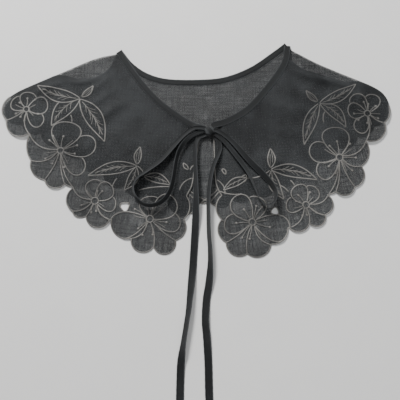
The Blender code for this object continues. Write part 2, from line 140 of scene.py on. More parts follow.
# Each front turns under itself a little below the shoulder fold, and meets the fold further out.
LEFT_TURN = table(Place, (
    (-98.0, 108.0), (-104.0, 96.5), (-120.0, 86.5), (-140.0, 85.5), (-153.0, 89.0), (-164.0, 89.5),
    *LEFT_FOLD[3:],
))
RIGHT_TURN = table(Place, (
    (114.0, 108.0), (127.0, 97.5), (145.0, 91.4), (162.0, 85.5), (176.0, 81.5), (190.0, 82.0),
    *RIGHT_FOLD[4:],
))
LEFT_FRONT_NECK = table(Place, (
    (-91.5, 119.6), (-79.0, 99.9), (-63.0, 77.8), (-44.0, 56.4), (-25.0, 41.0), (-8.0, 29.2),
    (7.5, 22.6),
))
RIGHT_FRONT_NECK = table(Place, (
    (109.4, 127.2), (106.5, 108.6), (97.0, 90.6), (77.5, 65.0), (60.0, 46.2), (40.0, 33.6),
    (20.5, 26.0),
))
BACK_NECK = table(Place, (
    (-91.0, 119.6), (-77.0, 102.0), (-58.0, 88.6), (-33.0, 81.4), (5.0, 80.6), (36.0, 84.2),
    (67.0, 97.2), (94.0, 116.6), (108.0, 127.6),
))
LEFT_OPENING = table(Place, (
    (-8.0, -54.0), (-3.4, -44.0), (-0.4, -24.0), (2.6, -4.0), (5.0, 12.0),
))
RIGHT_OPENING = table(Place, (
    (20.0, 16.0), (20.6, -6.0), (21.0, -28.0), (22.6, -43.0), (27.0, -54.0),
))

# The bow.  A route row gives the middle of the flat tape in plan, the height of its lowest edge and how
# far it is turned on edge, in degrees: a turn above zero lifts the edge to the left of its run.
Route = namedtuple("Route", "x y rest turn")
LEFT_LOOP = table(Route, (
    (8.2, 22.4, 5.6, 0.0), (-3.0, 21.8, 5.5, 4.0), (-13.4, 14.0, 4.4, 12.0),
    (-24.0, 2.0, 3.1, 24.0), (-39.0, -16.0, 2.9, 38.0), (-55.0, -29.0, 2.9, 52.0),
    (-65.0, -37.0, 2.9, 62.0), (-69.3, -47.0, 2.9, 68.0), (-66.5, -58.0, 2.9, 71.0),
    (-57.5, -66.5, 2.9, 72.0), (-46.0, -67.8, 2.9, 71.0), (-35.5, -62.5, 2.9, 68.0),
    (-28.2, -51.5, 2.9, 64.0), (-24.5, -37.0, 2.9, 58.0), (-22.6, -22.0, 2.9, 60.0),
    (-19.6, -8.0, 3.1, 52.0), (-13.0, 4.5, 3.7, 24.0), (-4.5, 13.0, 4.1, 2.0),
    (7.8, 18.6, 4.2, 0.0),
))
RIGHT_LOOP = table(Route, (
    (23.9, 14.2, 4.2, 0.0), (33.6, 5.4, 4.1, -2.0), (46.0, -10.5, 3.4, -16.0),
    (56.6, -26.0, 2.9, -38.0), (62.6, -39.0, 2.9, -58.0), (66.8, -50.6, 2.9, -71.0),
    (71.4, -61.6, 2.9, -77.0), (79.2, -67.8, 2.9, -78.0), (87.0, -63.6, 2.9, -76.0),
    (88.8, -53.6, 2.9, -70.0), (84.2, -43.5, 2.9, -58.0), (75.6, -32.7, 2.9, -44.0),
    (65.0, -21.5, 3.5, -32.0), (54.5, -9.5, 4.8, -16.0), (45.0, 2.0, 5.5, -6.0),
    (34.5, 12.4, 5.7, 0.0), (24.2, 19.2, 5.6, 0.0),
))
LEFT_END = table(Route, (
    (9.2, 14.2, 2.9, 0.0), (3.4, 11.4, 2.9, 3.0), (0.4, 4.0, 2.9, 22.0), (-0.6, -6.0, 2.9, 36.0),
    (-0.2, -22.0, 2.9, 42.0), (0.4, -38.0, 2.9, 42.0), (0.6, -54.0, 2.7, 38.0),
    (0.5, -70.0, 1.8, 28.0), (0.1, -86.0, 0.8, 14.0), (-0.6, -100.0, 0.1, 4.0),
    (-2.1, -127.0, 0.0, 0.0), (-3.4, -144.0, 0.0, 8.0), (-5.7, -167.0, 0.0, 36.0),
    (-7.3, -182.0, 0.0, 46.0), (-9.2, -194.0, 0.0, 50.0), (-12.6, -216.0, 0.0, 46.0),
    (-14.7, -234.0, 0.0, 12.0), (-15.3, -254.0, 0.0, 0.0), (-15.5, -276.0, 0.0, 0.0),
    (-15.4, -306.0, 0.0, 0.0),
))
RIGHT_END = table(Route, (
    (23.2, 10.8, 2.9, 0.0), (27.0, 5.0, 2.9, 0.0), (27.6, -2.0, 2.9, 2.0), (24.6, -11.0, 2.9, 20.0),
    (20.0, -22.9, 2.5, 40.0), (16.9, -36.4, 1.9, 48.0), (15.1, -49.5, 1.6, 54.0),
    (14.2, -66.0, 1.4, 60.0), (14.2, -80.0, 0.8, 62.0), (14.6, -97.0, 0.1, 60.0),
    (15.9, -116.0, 0.0, 56.0), (16.1, -133.0, 0.0, 46.0), (14.6, -153.0, 0.0, 16.0),
    (12.0, -170.0, 0.0, 2.0), (10.8, -192.0, 0.0, 14.0), (12.3, -210.0, 0.0, 10.0),
    (13.8, -236.0, 0.0, 0.0), (14.5, -268.0, 0.0, 0.0), (16.4, -298.0, 0.0, 0.0),
))

# The knot is a rounded block turned a little in plan, with one strand round it.
KNOT_CENTRE = Place(15.8, 18.9)
KNOT_TURN = 24.0
KNOT_CORE = np.array((10.2, 9.2, 4.9))
KNOT_BAND_REACH = (5.3, 2.55)    # half length and half height of the band that goes round the knot
KNOT_BAND_WIDTH = 6.4
KNOT_BAND_TURN = -52.0
KNOT_HEIGHT = 5.45               # middle of the knot
KNOT_SQUARE = 0.66               # 1 would make its core an egg, and 0 a box
KNOT_PLEATS = 9                  # soft pleats round its waist, and their depth
KNOT_PLEAT_DEPTH = 0.045

# Soft creases: a bent line along which the cloth swells, fading out at both ends.
Crease = namedtuple("Crease", "x1 y1 x2 y2 bow height width")
LEFT_CREASES = table(Crease, (
    (-98.0, 104.0, -160.0, 84.0, 11.0, 2.4, 5.0), (-70.0, 60.0, -118.0, 24.0, -4.0, 1.5, 6.5),
    (-94.0, 96.0, -132.0, 62.0, 2.5, 1.0, 3.6), (-146.0, 82.0, -196.0, 62.0, -2.0, 1.2, 4.0),
    (-34.0, 34.0, -78.0, 8.0, 3.0, 0.7, 4.5), (-84.0, 82.0, -150.0, 40.0, 6.0, 0.8, 4.2),
    (-92.0, 20.0, -132.0, -14.0, -5.0, 0.7, 5.0), (-66.0, 30.0, -84.0, -14.0, 3.0, 0.5, 4.0),
    (-182.0, 58.0, -178.0, 22.0, 2.0, 0.6, 4.0),
))
RIGHT_CREASES = table(Crease, (
    (112.0, 102.0, 188.0, 76.0, -2.5, 3.8, 5.0), (60.0, 32.0, 118.0, 6.0, 4.0, 1.6, 5.5),
    (102.0, 78.0, 112.0, 26.0, 3.0, 1.0, 7.0), (104.0, 104.0, 146.0, 74.0, 2.0, 1.1, 3.4),
    (150.0, 76.0, 204.0, 62.0, -2.0, 1.2, 3.8), (48.0, 24.0, 76.0, -8.0, 2.0, 0.5, 4.0),
    (84.0, 60.0, 140.0, 44.0, -4.0, 0.8, 4.6), (120.0, 34.0, 150.0, -6.0, 5.0, 0.7, 5.0),
    (178.0, 56.0, 186.0, 22.0, -3.0, 0.7, 4.2), (60.0, -7.0, 138.0, -35.0, 3.0, 1.9, 4.2),
))
BACK_CREASES = table(Crease, (
    (-60.0, 74.0, 40.0, 60.0, -6.0, 0.35, 7.0), (-20.0, 66.0, 70.0, 74.0, 5.0, 0.3, 5.0),
    (-44.0, 56.0, -8.0, 34.0, 3.0, 0.3, 5.0), (24.0, 44.0, 64.0, 62.0, 3.0, 0.3, 4.5),
))

# Long shallow waves of cloth that was folded away and then laid out, with their wavelengths across and
# up the plan.
Wave = namedtuple("Wave", "across up phase height")
WAVES = table(Wave, (
    (74.0, 51.0, 0.4, 0.13), (-47.0, 83.0, 2.1, 0.11), (31.0, -38.0, 4.0, 0.06),
    (13.0, 17.0, 1.3, 0.025), (-16.0, 11.0, 5.1, 0.02),
))
FRONT_WAVES = 1.2        # how much of them the fronts and the back take
BACK_WAVES = 0.7
CREASE_SIDES = (0.72, 1.18)      # a crease's width to its left and right, as shares of its own
HEM_LIFT_RUN = 7.0       # how far in from the hem its lift reaches
HEM_LIFT_WAVE = (57.0, 43.0)
CALM_MIDDLE = 12.0       # the bow holds the cloth flat about this X
CALM_REACH = 62.0
CALM_RUN = 30.0
CALM_LEFT = 0.35         # share of the creases that is left there

# A flower: the ring at its middle and its stamens.  Spin is the first stamen's direction in degrees.
Bloom = namedtuple("Bloom", "flower x y ring spin stamens")
LEFT_BLOOMS = table(Bloom, (
    ("shoulder", -196.4, 46.5, 3.3, 20.0, 10), ("side", -153.8, -3.5, 3.5, 48.0, 11),
    ("small", -112.2, -61.8, 3.9, 6.0, 9), ("centre", -50.4, -82.2, 3.9, 33.0, 10),
))
RIGHT_BLOOMS = table(Bloom, (
    ("centre", 62.8, -85.8, 3.7, 12.0, 10), ("small", 123.1, -66.4, 3.6, 40.0, 9),
    ("side", 163.5, -11.6, 3.8, 27.0, 11), ("shoulder", 199.0, 41.5, 3.6, 4.0, 10),
))
BACK_BLOOMS = table(Bloom, (
    ("shoulder", -188.0, 56.0, 3.5, 10.0, 8), ("side", -134.0, 28.0, 3.6, 35.0, 9),
    ("small", -80.0, -10.0, 3.6, 15.0, 8), ("centre", -31.0, -26.0, 3.7, 0.0, 9),
    ("centre", 45.0, -26.0, 3.7, 22.0, 9), ("small", 92.0, -8.0, 3.6, 50.0, 8),
    ("side", 142.0, 26.0, 3.6, 22.0, 9), ("shoulder", 190.0, 54.0, 3.5, 40.0, 8),
))

# Petals inside the hem, the uppermost first: the way each points from its ring in degrees, its length,
# the half width of its round end and how far it leans to the left.
Petal = namedtuple("Petal", "flower angle length width lean")
LEFT_PETALS = table(Petal, (
    ("shoulder", 14.0, 25.0, 10.5, 1.5), ("shoulder", -42.0, 27.0, 8.5, -2.0),
    ("shoulder", 84.0, 21.0, 9.5, 1.0), ("shoulder", 148.0, 20.0, 9.0, -1.0),
    ("side", 78.0, 35.0, 17.0, -1.5), ("side", 9.0, 40.5, 12.5, 2.0),
    ("side", -40.0, 37.0, 10.5, -2.5), ("small", 42.0, 25.0, 10.0, 1.5),
    ("small", 98.0, 24.0, 9.5, -1.0), ("small", -8.0, 24.0, 9.0, -2.0),
    ("centre", 36.0, 35.0, 13.0, 2.0), ("centre", 92.0, 25.0, 12.0, -1.5),
    ("centre", -6.0, 34.0, 11.0, -2.5), ("centre", 194.0, 45.0, 15.0, 0.0),
))
RIGHT_PETALS = table(Petal, (
    ("centre", 126.0, 34.0, 12.0, -2.0), ("centre", 183.0, 31.0, 11.0, 2.5),
    ("centre", 74.0, 29.0, 11.5, 1.5), ("centre", -14.0, 42.0, 15.0, 0.0),
    ("small", 118.0, 24.0, 10.0, -1.5), ("small", 60.0, 23.0, 9.0, 1.5),
    ("small", 176.0, 22.0, 9.0, 2.0), ("side", 96.0, 36.0, 15.5, 1.5),
    ("side", 167.0, 35.0, 12.0, -2.0), ("side", 218.0, 33.0, 10.5, 2.5),
    ("shoulder", 170.0, 23.0, 9.5, -1.5), ("shoulder", 238.0, 26.0, 8.5, 2.0),
    ("shoulder", 122.0, 27.0, 9.5, 1.0), ("shoulder", 68.0, 25.0, 9.0, -1.0),
))
BACK_FAN = ((38.0, 25.0, 10.5, 1.5), (142.0, 25.0, 10.5, -1.5), (90.0, 23.0, 11.5, 1.0))
BACK_PETALS = tuple(
    Petal(bloom.flower, *fan) for bloom in BACK_BLOOMS[:4] for fan in BACK_FAN)

# Leaves and buds from base to tip, with their half width and the bend of their middle line.
Leaf = namedtuple("Leaf", "x1 y1 x2 y2 width bow veins")
LEFT_LEAVES = table(Leaf, (
    (-135.0, 60.0, -186.0, 76.5, 8.0, 4.0, 6), (-135.0, 60.0, -166.0, 26.0, 9.5, -5.0, 5),
    (-135.0, 59.0, -104.0, 7.0, 10.0, 3.5, 7), (-66.0, -22.0, -121.0, -33.0, 7.0, -3.0, 6),
    (-67.0, -23.0, -80.0, -50.0, 5.5, 3.0, 4), (-58.0, -34.0, -28.0, -44.0, 5.5, 3.0, 4),
))
RIGHT_LEAVES = table(Leaf, (
    (144.0, 54.0, 188.0, 78.0, 6.5, -3.0, 7), (144.0, 54.0, 124.0, 3.5, 6.8, -2.5, 7),
    (145.0, 53.0, 173.0, 24.0, 7.0, 5.0, 5), (85.0, -26.0, 137.0, -38.0, 7.0, 4.0, 6),
    (86.0, -27.0, 99.0, -60.0, 6.0, -4.0, 5), (58.0, -36.0, 31.0, -50.0, 4.5, -2.0, 3),
))
BACK_LEAVES = table(Leaf, (
    (-160.0, 66.0, -132.0, 56.0, 6.0, 3.0, 4), (-104.0, 20.0, -80.0, 22.0, 6.0, -3.0, 4),
    (-100.0, 14.0, -98.0, -12.0, 5.5, 3.0, 4), (-32.0, -10.0, -54.0, 10.0, 6.0, 3.0, 4),
    (44.0, -10.0, 62.0, 12.0, 6.0, -3.0, 4), (112.0, 18.0, 92.0, 26.0, 6.0, 3.0, 4),
    (110.0, 12.0, 112.0, -12.0, 5.5, -3.0, 4), (168.0, 62.0, 140.0, 58.0, 6.0, -3.0, 4),
))
Bud = namedtuple("Bud", "x1 y1 x2 y2 width bow")
LEFT_BUDS = table(Bud, (
    (-133.0, 62.0, -120.0, 76.0, 3.4, -1.0), (-66.0, -20.0, -63.0, 1.0, 4.0, 1.0),
    (-8.0, -26.0, -14.0, -18.0, 2.0, 0.5),
))
RIGHT_BUDS = table(Bud, (
    (142.0, 56.0, 129.0, 70.0, 3.2, 1.0), (85.0, -24.0, 85.0, -1.0, 4.2, -1.0),
    (57.0, -32.0, 48.0, -42.0, 3.0, 1.0), (30.0, -25.0, 34.0, -32.0, 1.8, 0.5),
))
Twig = namedtuple("Twig", "x1 y1 x2 y2 bow")
LEFT_TWIGS = table(Twig, (
    (-66.0, -22.0, -58.0, -34.0, 2.0), (-3.5, -36.0, -18.0, -50.0, -3.0),
    (-145.0, 40.0, -143.0, 30.0, 1.0), (-64.0, -50.0, -28.0, -46.0, 1.5),
    (-88.0, -36.0, -93.0, -52.0, -2.0), (-112.0, -36.0, -104.0, -50.0, -2.0),
    (-6.0, -27.0, -1.5, -21.0, 1.0),
))
RIGHT_TWIGS = table(Twig, (
    (85.0, -26.0, 58.0, -36.0, 3.0), (24.0, -38.0, 33.0, -55.0, 3.0),
    (27.0, -51.0, 52.0, -54.0, -2.0), (106.0, -38.0, 112.0, -52.0, 2.0),
    (150.0, 44.0, 148.0, 30.0, -1.5), (94.0, -44.0, 104.0, -52.0, 1.0),
))

EDGE_STITCH_IN = 0.75    # how far inside the cut edge the satin edging runs
# How far the shortest stamen of each flower goes past its ring.
STAMEN_REACH = {"shoulder": 7.5, "side": 12.5, "small": 7.5, "centre": 12.5}
STAMEN_SPREAD = 4.5
DOT_SIZE = 2.9
VEIN_WIDTH = 0.8         # share of the fine line
GOLDEN = 0.618034        # spreads the stamens' lengths without a repeat
STITCH_SIDES = 6

# The tape's section: how far across from its middle, from one edge to the other, in half widths.
TAPE_ACROSS = np.array((
    1.0, 0.985, 0.94, 0.86, 0.66, 0.35, 0.0, -0.35, -0.56, -0.66, -0.72, -0.78, -0.86, -0.94, -0.985,
    -1.0))
TAPE_ROUND = np.concatenate([TAPE_ACROSS, TAPE_ACROSS[1:-1][::-1]])
SEAM_AT = -0.72          # where the tape's fold is stitched down
SEAM_WIDTH = 0.075
SEAM_DEPTH = 0.5
SEAM_STITCH = 2.6        # length of one stitch
SEAM_THREAD = 0.42
SEAM_SIDES = 5
GATHER_IN = 0.44         # how much narrower and thicker the tape is where the knot gathers it
GATHER_UP = 0.6
GATHER_RUN = 95.0        # how far from the knot the gathers open out
KNOT_REACH_IN = 3.2      # how far each strand goes into the knot
NECK_RISE_RUN = 13.0     # how far from its end a front's neck tape begins to rise to the knot
TAPE_HOLLOW = 0.38       # depth of the tape's hollow as a share of its half thickness, and what
GATHER_HOLLOW = 0.5      # gathering adds to it

PAINTED_SHADE_MIDDLE = (0.147, 0.047, 0.0)    # middle of the painted shade on the thread, in metres, and how far out it reaches
PAINTED_SHADE_REACH = (0.034, 0.062)
SLUB_ROWS = 640.0        # changes of thread thickness in a metre across the threads, and along them
SLUB_RUNS = 46.0
MOTTLE = (11.0, 38.0)    # features in a metre of the uneven tone: two mottles and the lint over them
LINT = 900.0

FLOOR_SIZE = 8.0         # in metres
CAMERA_X = 5.0           # where the camera stands on the plan
CAMERA_Y = -174.0


def in_metres(name, description, default):
    """A setting in metres."""
    return FloatProperty(name=name, description=description, default=default, unit="LENGTH")


def as_share(name, description, default):
    """A setting between nought and one."""
    return FloatProperty(name=name, description=description, default=default, subtype="FACTOR")


def in_watts(name, description, default):
    """A light's setting in watts."""
    return FloatProperty(name=name, description=description, default=default, unit="POWER")


def as_colour(name, description, default):
    """A colour setting."""
    return FloatVectorProperty(
        name=name, description=description, default=default, subtype="COLOR", size=3)


class ClothLook(bpy.types.PropertyGroup):
    """The sheer cloth."""
    wall: in_metres("Cloth thickness", "Thickness of the organza", 0.00024)
    pitch: in_metres("Thread pitch", "Spacing of the woven threads", 0.00046)
    share: as_share("Thread share", "Share of the pitch that one thread covers", 0.36)
    gap_cover: as_share("Cover between threads", "Alpha of the fine haze between the threads", 0.08)
    hem_lift: in_metres("Hem lift", "How far the petals' edges rise from the surface", 0.0011)
    colour: as_colour("Cloth colour", "Colour of the woven threads", (0.0325, 0.0345, 0.0355))


class ThreadLook(bpy.types.PropertyGroup):
    """The satin stitching."""
    line: in_metres("Line width", "Width of the outlines", 0.00142)
    fine: in_metres("Fine line width", "Width of stamens and veins", 0.00092)
    rise: in_metres("Stitch height", "Full height of a satin line through the cloth", 0.00072)
    pitch: in_metres("Stitch pitch", "Spacing of the threads along a line", 0.00042)
    colour: as_colour("Thread colour", "Colour of the silky thread", (0.165, 0.156, 0.142))


class TapeLook(bpy.types.PropertyGroup):
    """The folded tape of the neckline and the bow."""
    rib: in_metres("Rib pitch", "Spacing of the tape's woven ribs", 0.00055)
    pucker: as_share("Pucker", "How much the tape's thickness swells between stitches", 0.08)
    colour: as_colour("Tape colour", "Colour of the tape", (0.0105, 0.0112, 0.0116))


class StageLook(bpy.types.PropertyGroup):
    """The floor, the lights and the camera."""
    floor: as_colour("Floor colour", "Colour of the plain floor", (0.80, 0.79, 0.77))
    key: in_watts("Key light", "Power of the large soft light", 72.0)
    fill: in_watts("Fill light", "Power of the light from the other side", 9.0)
    sky: FloatProperty(name="Sky", description="Strength of the light from all round", default=0.42)
    height: in_metres("Camera height", "Height of the camera above the surface", 0.524)
    tilt: FloatProperty(
        name="Camera tilt", description="How far the camera leans back from looking straight down",
        default=math.radians(12.2), subtype="ANGLE")
    lens: FloatProperty(
        name="Lens", description="Focal length in millimetres on a 36 mm sensor", default=43.2)


class CollarLook(bpy.types.PropertyGroup):
    """Everything a user would change."""
    cloth: PointerProperty(type=ClothLook, name="Cloth", description="The sheer cloth")
    thread: PointerProperty(type=ThreadLook, name="Thread", description="The satin stitching")
    tape: PointerProperty(type=TapeLook, name="Tape", description="The neck tape and the bow")
    stage: PointerProperty(type=StageLook, name="Stage", description="Floor, lights and camera")


# Lines and outlines on the plan

def smooth_curve(rows, step):
    """Catmull-Rom curve through the rows, sampled about every step along it."""
    rows = np.array(rows, dtype=float)
    ends = np.vstack([2 * rows[0] - rows[1], rows, 2 * rows[-1] - rows[-2]])
    runs = np.linalg.norm(np.diff(rows[:, :3], axis=0), axis=1)
    counts = np.maximum(1, np.round(runs / step).astype(int))
    span = np.repeat(np.arange(len(counts)), counts)
    firsts = np.cumsum(counts) - counts
    share = ((np.arange(counts.sum()) - firsts[span]) / counts[span])[:, None]
    before, start, end, after = (ends[span + shift] for shift in range(4))
    curve = 0.5 * (
        2 * start + (end - before) * share
        + (2 * before - 5 * start + 4 * end - after) * share ** 2
        + (3 * start - before - 3 * end + after) * share ** 3)
    return np.vstack([curve, rows[-1:]])


def run_lengths(line):
    """Distance along the line to each of its points."""
    return np.concatenate([[0.0], np.cumsum(np.linalg.norm(np.diff(line, axis=0), axis=1))])


def evenly(line, step):
    """The same line with its points at even distances, about a step apart."""
    lengths = run_lengths(line)
    places = np.linspace(0.0, lengths[-1], max(3, round(lengths[-1] / step) + 1))
    return np.column_stack([np.interp(places, lengths, column) for column in line.T])


def side_directions(line, closed=False):
    """Unit vectors in plan, to the left of the way the line runs."""
    plan = line[:, :2]
    if closed:
        ahead = np.roll(plan, -1, axis=0) - np.roll(plan, 1, axis=0)
    else:
        ahead = np.gradient(plan, axis=0)
    ahead = ahead / np.maximum(np.linalg.norm(ahead, axis=1), 1e-9)[:, None]
    return np.column_stack([-ahead[:, 1], ahead[:, 0]])


def level_ways(line, closed=False):
    """Unit vectors in the frame's three directions: to the left of the line's way, and up."""
    side = np.column_stack([side_directions(line, closed), np.zeros(len(line))])
    return side, UP + np.zeros_like(side)


def beside(line, distance):
    """The line moved sideways in plan, to its left where the distance is above zero."""
    return line[:, :2] + side_directions(line) * distance


def notch(first, second):
    """Where two petals' circles cross, on the side to the right of the way from first to second."""
    start = np.array((first.x, first.y))
    along = np.array((second.x, second.y)) - start
    apart = float(np.linalg.norm(along))
    along /= apart
    near = (first.radius ** 2 - second.radius ** 2 + apart ** 2) / (2 * apart)
    out = math.sqrt(first.radius ** 2 - near ** 2)
    return start + near * along + out * np.array((along[1], -along[0]))


def scallops(lobes, start, end, step):
    """Arcs along the petals' outer sides, from the point start to the point end."""
    corners = [start, *(notch(first, second) for first, second in zip(lobes, lobes[1:])), end]
    arcs = []
    for lobe, begin, finish in zip(lobes, corners, corners[1:]):
        centre = np.array((lobe.x, lobe.y))
        first = math.atan2(*(begin - centre)[::-1])
        last = math.atan2(*(finish - centre)[::-1])
        sweep = (last - first) % math.tau
        count = max(2, round(sweep * lobe.radius / step))
        angles = first + sweep * np.arange(count) / count
        arcs.append(centre + lobe.radius * np.column_stack([np.cos(angles), np.sin(angles)]))
    return np.vstack(arcs)


def on_lobe(lobe, target):
    """The point of the petal's circle that is nearest to the target."""
    centre = np.array((lobe.x, lobe.y))
    away = np.array(target[:2]) - centre
    return centre + away * lobe.radius / np.linalg.norm(away)


def round_ways(count):
    """Angles evenly round a turn, and the unit vector of each."""
    angles = np.arange(count) * math.tau / count
    return angles, np.column_stack([np.cos(angles), np.sin(angles)])


def circle(x, y, radius, step):
    """Points round a circle, about a step apart."""
    return np.array((x, y)) + radius * round_ways(max(10, round(math.tau * radius / step)))[1]


def eyelet_outline(eyelet, inset):
    """A circle drawn out at three corners, an inset outside the cut edge."""
    angles, ways = round_ways(EYELET_POINTS)
    corners = np.cos(3.0 * (angles - math.radians(eyelet.turn)))
    reach = (eyelet.radius + inset) * (1.0 + EYELET_CORNERS * corners)
    return np.array((eyelet.x, eyelet.y)) + reach[:, None] * ways


def neck_edge(neck, side, step):
    """The cloth's edge beside the neck tape: side is 1 to the left of its run and -1 to the right."""
    return beside(smooth_curve(neck, step), side * (TAPE_WIDTH / 2 + NECK_GAP))


Cut = namedtuple("Cut", "outline hem shoulder")


@lru_cache
def back_cut(step):
    """Right round the back: scallops, right fold, neckline, left fold."""
    left_fold = smooth_curve(LEFT_FOLD, step)
    right_fold = smooth_curve(RIGHT_FOLD, step)
    hem = scallops(BACK_LOBES, on_lobe(BACK_LOBES[0], LEFT_FOLD[-1]),
                   on_lobe(BACK_LOBES[-1], RIGHT_FOLD[-1]), step)
    neck = neck_edge(BACK_NECK, -1, step)
    return Cut(np.vstack([hem, right_fold[::-1], neck[::-1], left_fold]), hem, None)


@lru_cache
def left_cut(step):
    """Right round the left front: shoulder edge, scallops, front opening, neckline."""
    shoulder = smooth_curve(LEFT_TURN, step)
    opening = smooth_curve(LEFT_OPENING, step)
    hem = scallops(LEFT_LOBES, on_lobe(LEFT_LOBES[0], LEFT_FOLD[-1]),
                   on_lobe(LEFT_LOBES[-1], LEFT_OPENING[0]), step)
    neck = neck_edge(LEFT_FRONT_NECK, -1, step)
    return Cut(np.vstack([shoulder, hem, opening, neck[::-1]]), np.vstack([hem, opening]), shoulder)


@lru_cache
def right_cut(step):
    """Right round the right front: scallops, shoulder edge, neckline, front opening."""
    shoulder = smooth_curve(RIGHT_TURN, step)
    opening = smooth_curve(RIGHT_OPENING, step)
    hem = scallops(RIGHT_LOBES, on_lobe(RIGHT_LOBES[0], RIGHT_OPENING[-1]),
                   on_lobe(RIGHT_LOBES[-1], RIGHT_FOLD[-1]), step)
    neck = neck_edge(RIGHT_FRONT_NECK, 1, step)
    return Cut(np.vstack([hem, shoulder[::-1], neck, opening]), np.vstack([opening, hem]), shoulder)


def inside(points, outline):
    """True for each point inside the closed outline, by counting the sides that a ray crosses."""
    start, end = outline, np.roll(outline, -1, axis=0)
    rise = np.where(end[:, 1] == start[:, 1], 1.0, end[:, 1] - start[:, 1])
    slope = (end[:, 0] - start[:, 0]) / rise
    found = []
    for batch in np.array_split(points, len(points) // BATCH + 1):
        x, y = batch[:, :1], batch[:, 1:2]
        spans = (start[:, 1] > y) != (end[:, 1] > y)
        crossing = start[:, 0] + (y - start[:, 1]) * slope
        found.append((spans & (x < crossing)).sum(axis=1) % 2 == 1)
    return np.concatenate(found)


def distance_to_line(points, line):
    """Distance from each point to the nearest of the line's straight steps."""
    start = line[:-1]
    along = line[1:] - start
    squares = np.maximum((along ** 2).sum(axis=1), 1e-9)
    found = []
    for batch in np.array_split(points, len(points) // BATCH + 1):
        offset_x = batch[:, :1] - start[:, 0]
        offset_y = batch[:, 1:2] - start[:, 1]
        share = np.clip((offset_x * along[:, 0] + offset_y * along[:, 1]) / squares, 0.0, 1.0)
        gap_x = offset_x - share * along[:, 0]
        gap_y = offset_y - share * along[:, 1]
        found.append(np.sqrt((gap_x ** 2 + gap_y ** 2).min(axis=1)))
    return np.concatenate(found)


def round_again(outline):
    """The outline with its first point once more at its end."""
    return np.vstack([outline, outline[:1]])


# Heights of the cloth

def ease(share):
    """0 below 0 and 1 above 1, with a smooth S between: 3 s squared less 2 s cubed."""
    share = np.clip(share, 0.0, 1.0)
    return share ** 2 * (3.0 - 2.0 * share)


def crease_heights(points, creases):
    """Each crease is a bell across its bent line, steeper on one side, and a sine arch along it."""
    heights = np.zeros(len(points))
    for crease in creases:
        start = np.array((crease.x1, crease.y1))
        along = np.array((crease.x2, crease.y2)) - start
        length = float(np.linalg.norm(along))
        along /= length
        offset = points - start
        share = np.clip(offset @ along / length, 0.0, 1.0)
        across = offset @ np.array((-along[1], along[0])) - crease.bow * 4.0 * share * (1.0 - share)
        width = crease.width * np.where(across > 0.0, *CREASE_SIDES)
        heights += crease.height * np.sin(math.pi * share) ** 1.3 * np.exp(-(across / width) ** 2)
    return heights


def wave_heights(points):
    """A sum of slow sine waves, each along its own direction."""
    heights = np.zeros(len(points))
    for wave in WAVES:
        turns = points[:, 0] / wave.across + points[:, 1] / wave.up
        heights += wave.height * np.sin(math.tau * turns + wave.phase)
    return heights


def hem_lift(points, hem, most):
    """The edge rises towards the hem by a bell of its distance, more in some petals than in others."""
    near = np.exp(-(distance_to_line(points, hem) / HEM_LIFT_RUN) ** 2)
    turns = points[:, 0] / HEM_LIFT_WAVE[0] - points[:, 1] / HEM_LIFT_WAVE[1]
    return most * near * (0.5 + 0.5 * np.sin(math.tau * turns))


def fold_roll(points, fold, reach):
    """The quarter circle by which cloth turns over at a fold, as a share of its radius."""
    near = np.clip(1.0 - distance_to_line(points, fold) / reach, 0.0, 1.0)
    return 1.0 - np.sqrt(1.0 - near ** 2)


def front_heights(points, cut, creases, lift):
    """A front lies on the back and, past the back's edge, eases down to the surface."""
    rim = back_cut(BACK_STEP).outline
    past = np.where(inside(points, rim), 0.0, distance_to_line(points, round_again(rim)))
    fall = ease((past - FALL_START) / FALL_RUN)
    lie = FRONT_LIE + (FLOOR_LIE - FRONT_LIE) * fall
    calm = ease((np.abs(points[:, 0] - CALM_MIDDLE) - CALM_REACH) / CALM_RUN)
    fold_clear = ease(distance_to_line(points, cut.shoulder) / FOLD_CALM)
    swell = crease_heights(points, creases) + wave_heights(points) * FRONT_WAVES
    edge = hem_lift(points, cut.hem, lift) * calm
    reach = (FRONT_LIE - FLOOR_LIE) / 2
    roll = fold_roll(points, cut.shoulder, reach) * np.minimum(lie - FLOOR_LIE, 2 * reach) / 2
    return lie + swell * fold_clear * (CALM_LEFT + (1.0 - CALM_LEFT) * calm) + edge - roll


def back_heights(points):
    """The back lies on the surface, and rises at the folds to meet the fronts."""
    reach = (FRONT_LIE - FLOOR_LIE) / 2
    calm = wave_heights(points) * BACK_WAVES + crease_heights(points, BACK_CREASES)
    folds = (smooth_curve(fold, HEM_STEP) for fold in (LEFT_FOLD, RIGHT_FOLD))
    rise = sum(fold_roll(points, fold, reach) for fold in folds)
    return FLOOR_LIE + calm + rise * reach


# Meshes

Part = namedtuple("Part", "points faces corners")


def placed(points):
    """Plan points and heights in millimetres, as metres in the frame."""
    return (np.asarray(points) - (*MIDDLE, 0.0)) * MM


def joined(parts):
    """Several parts as one, each with its own points, faces and pattern corners."""
    firsts = np.cumsum([0, *(len(part.points) for part in parts)])
    faces = [[[int(corner) + int(first) for corner in face] for face in part.faces]
             for part, first in zip(parts, firsts)]
    return Part(np.vstack([part.points for part in parts]), sum(faces, []),
                np.vstack([part.corners for part in parts]))


def add_mesh(name, part, material, smooth_angle):
    """A mesh object at the origin from one part, with its run and width in metres as its UV map."""
    mesh = bpy.data.meshes.new(name)
    mesh.from_pydata(placed(part.points), [], part.faces)
    if len(part.corners):
        pattern = mesh.uv_layers.new(name="pattern")
        pattern.data.foreach_set("uv", (part.corners * MM).astype(np.float32).ravel())
    mesh.materials.append(material)
    mesh.shade_smooth()
    mesh.set_sharp_from_angle(angle=math.radians(smooth_angle))
    piece = bpy.data.objects.new(name, mesh)
    bpy.context.scene.collection.objects.link(piece)
    return piece


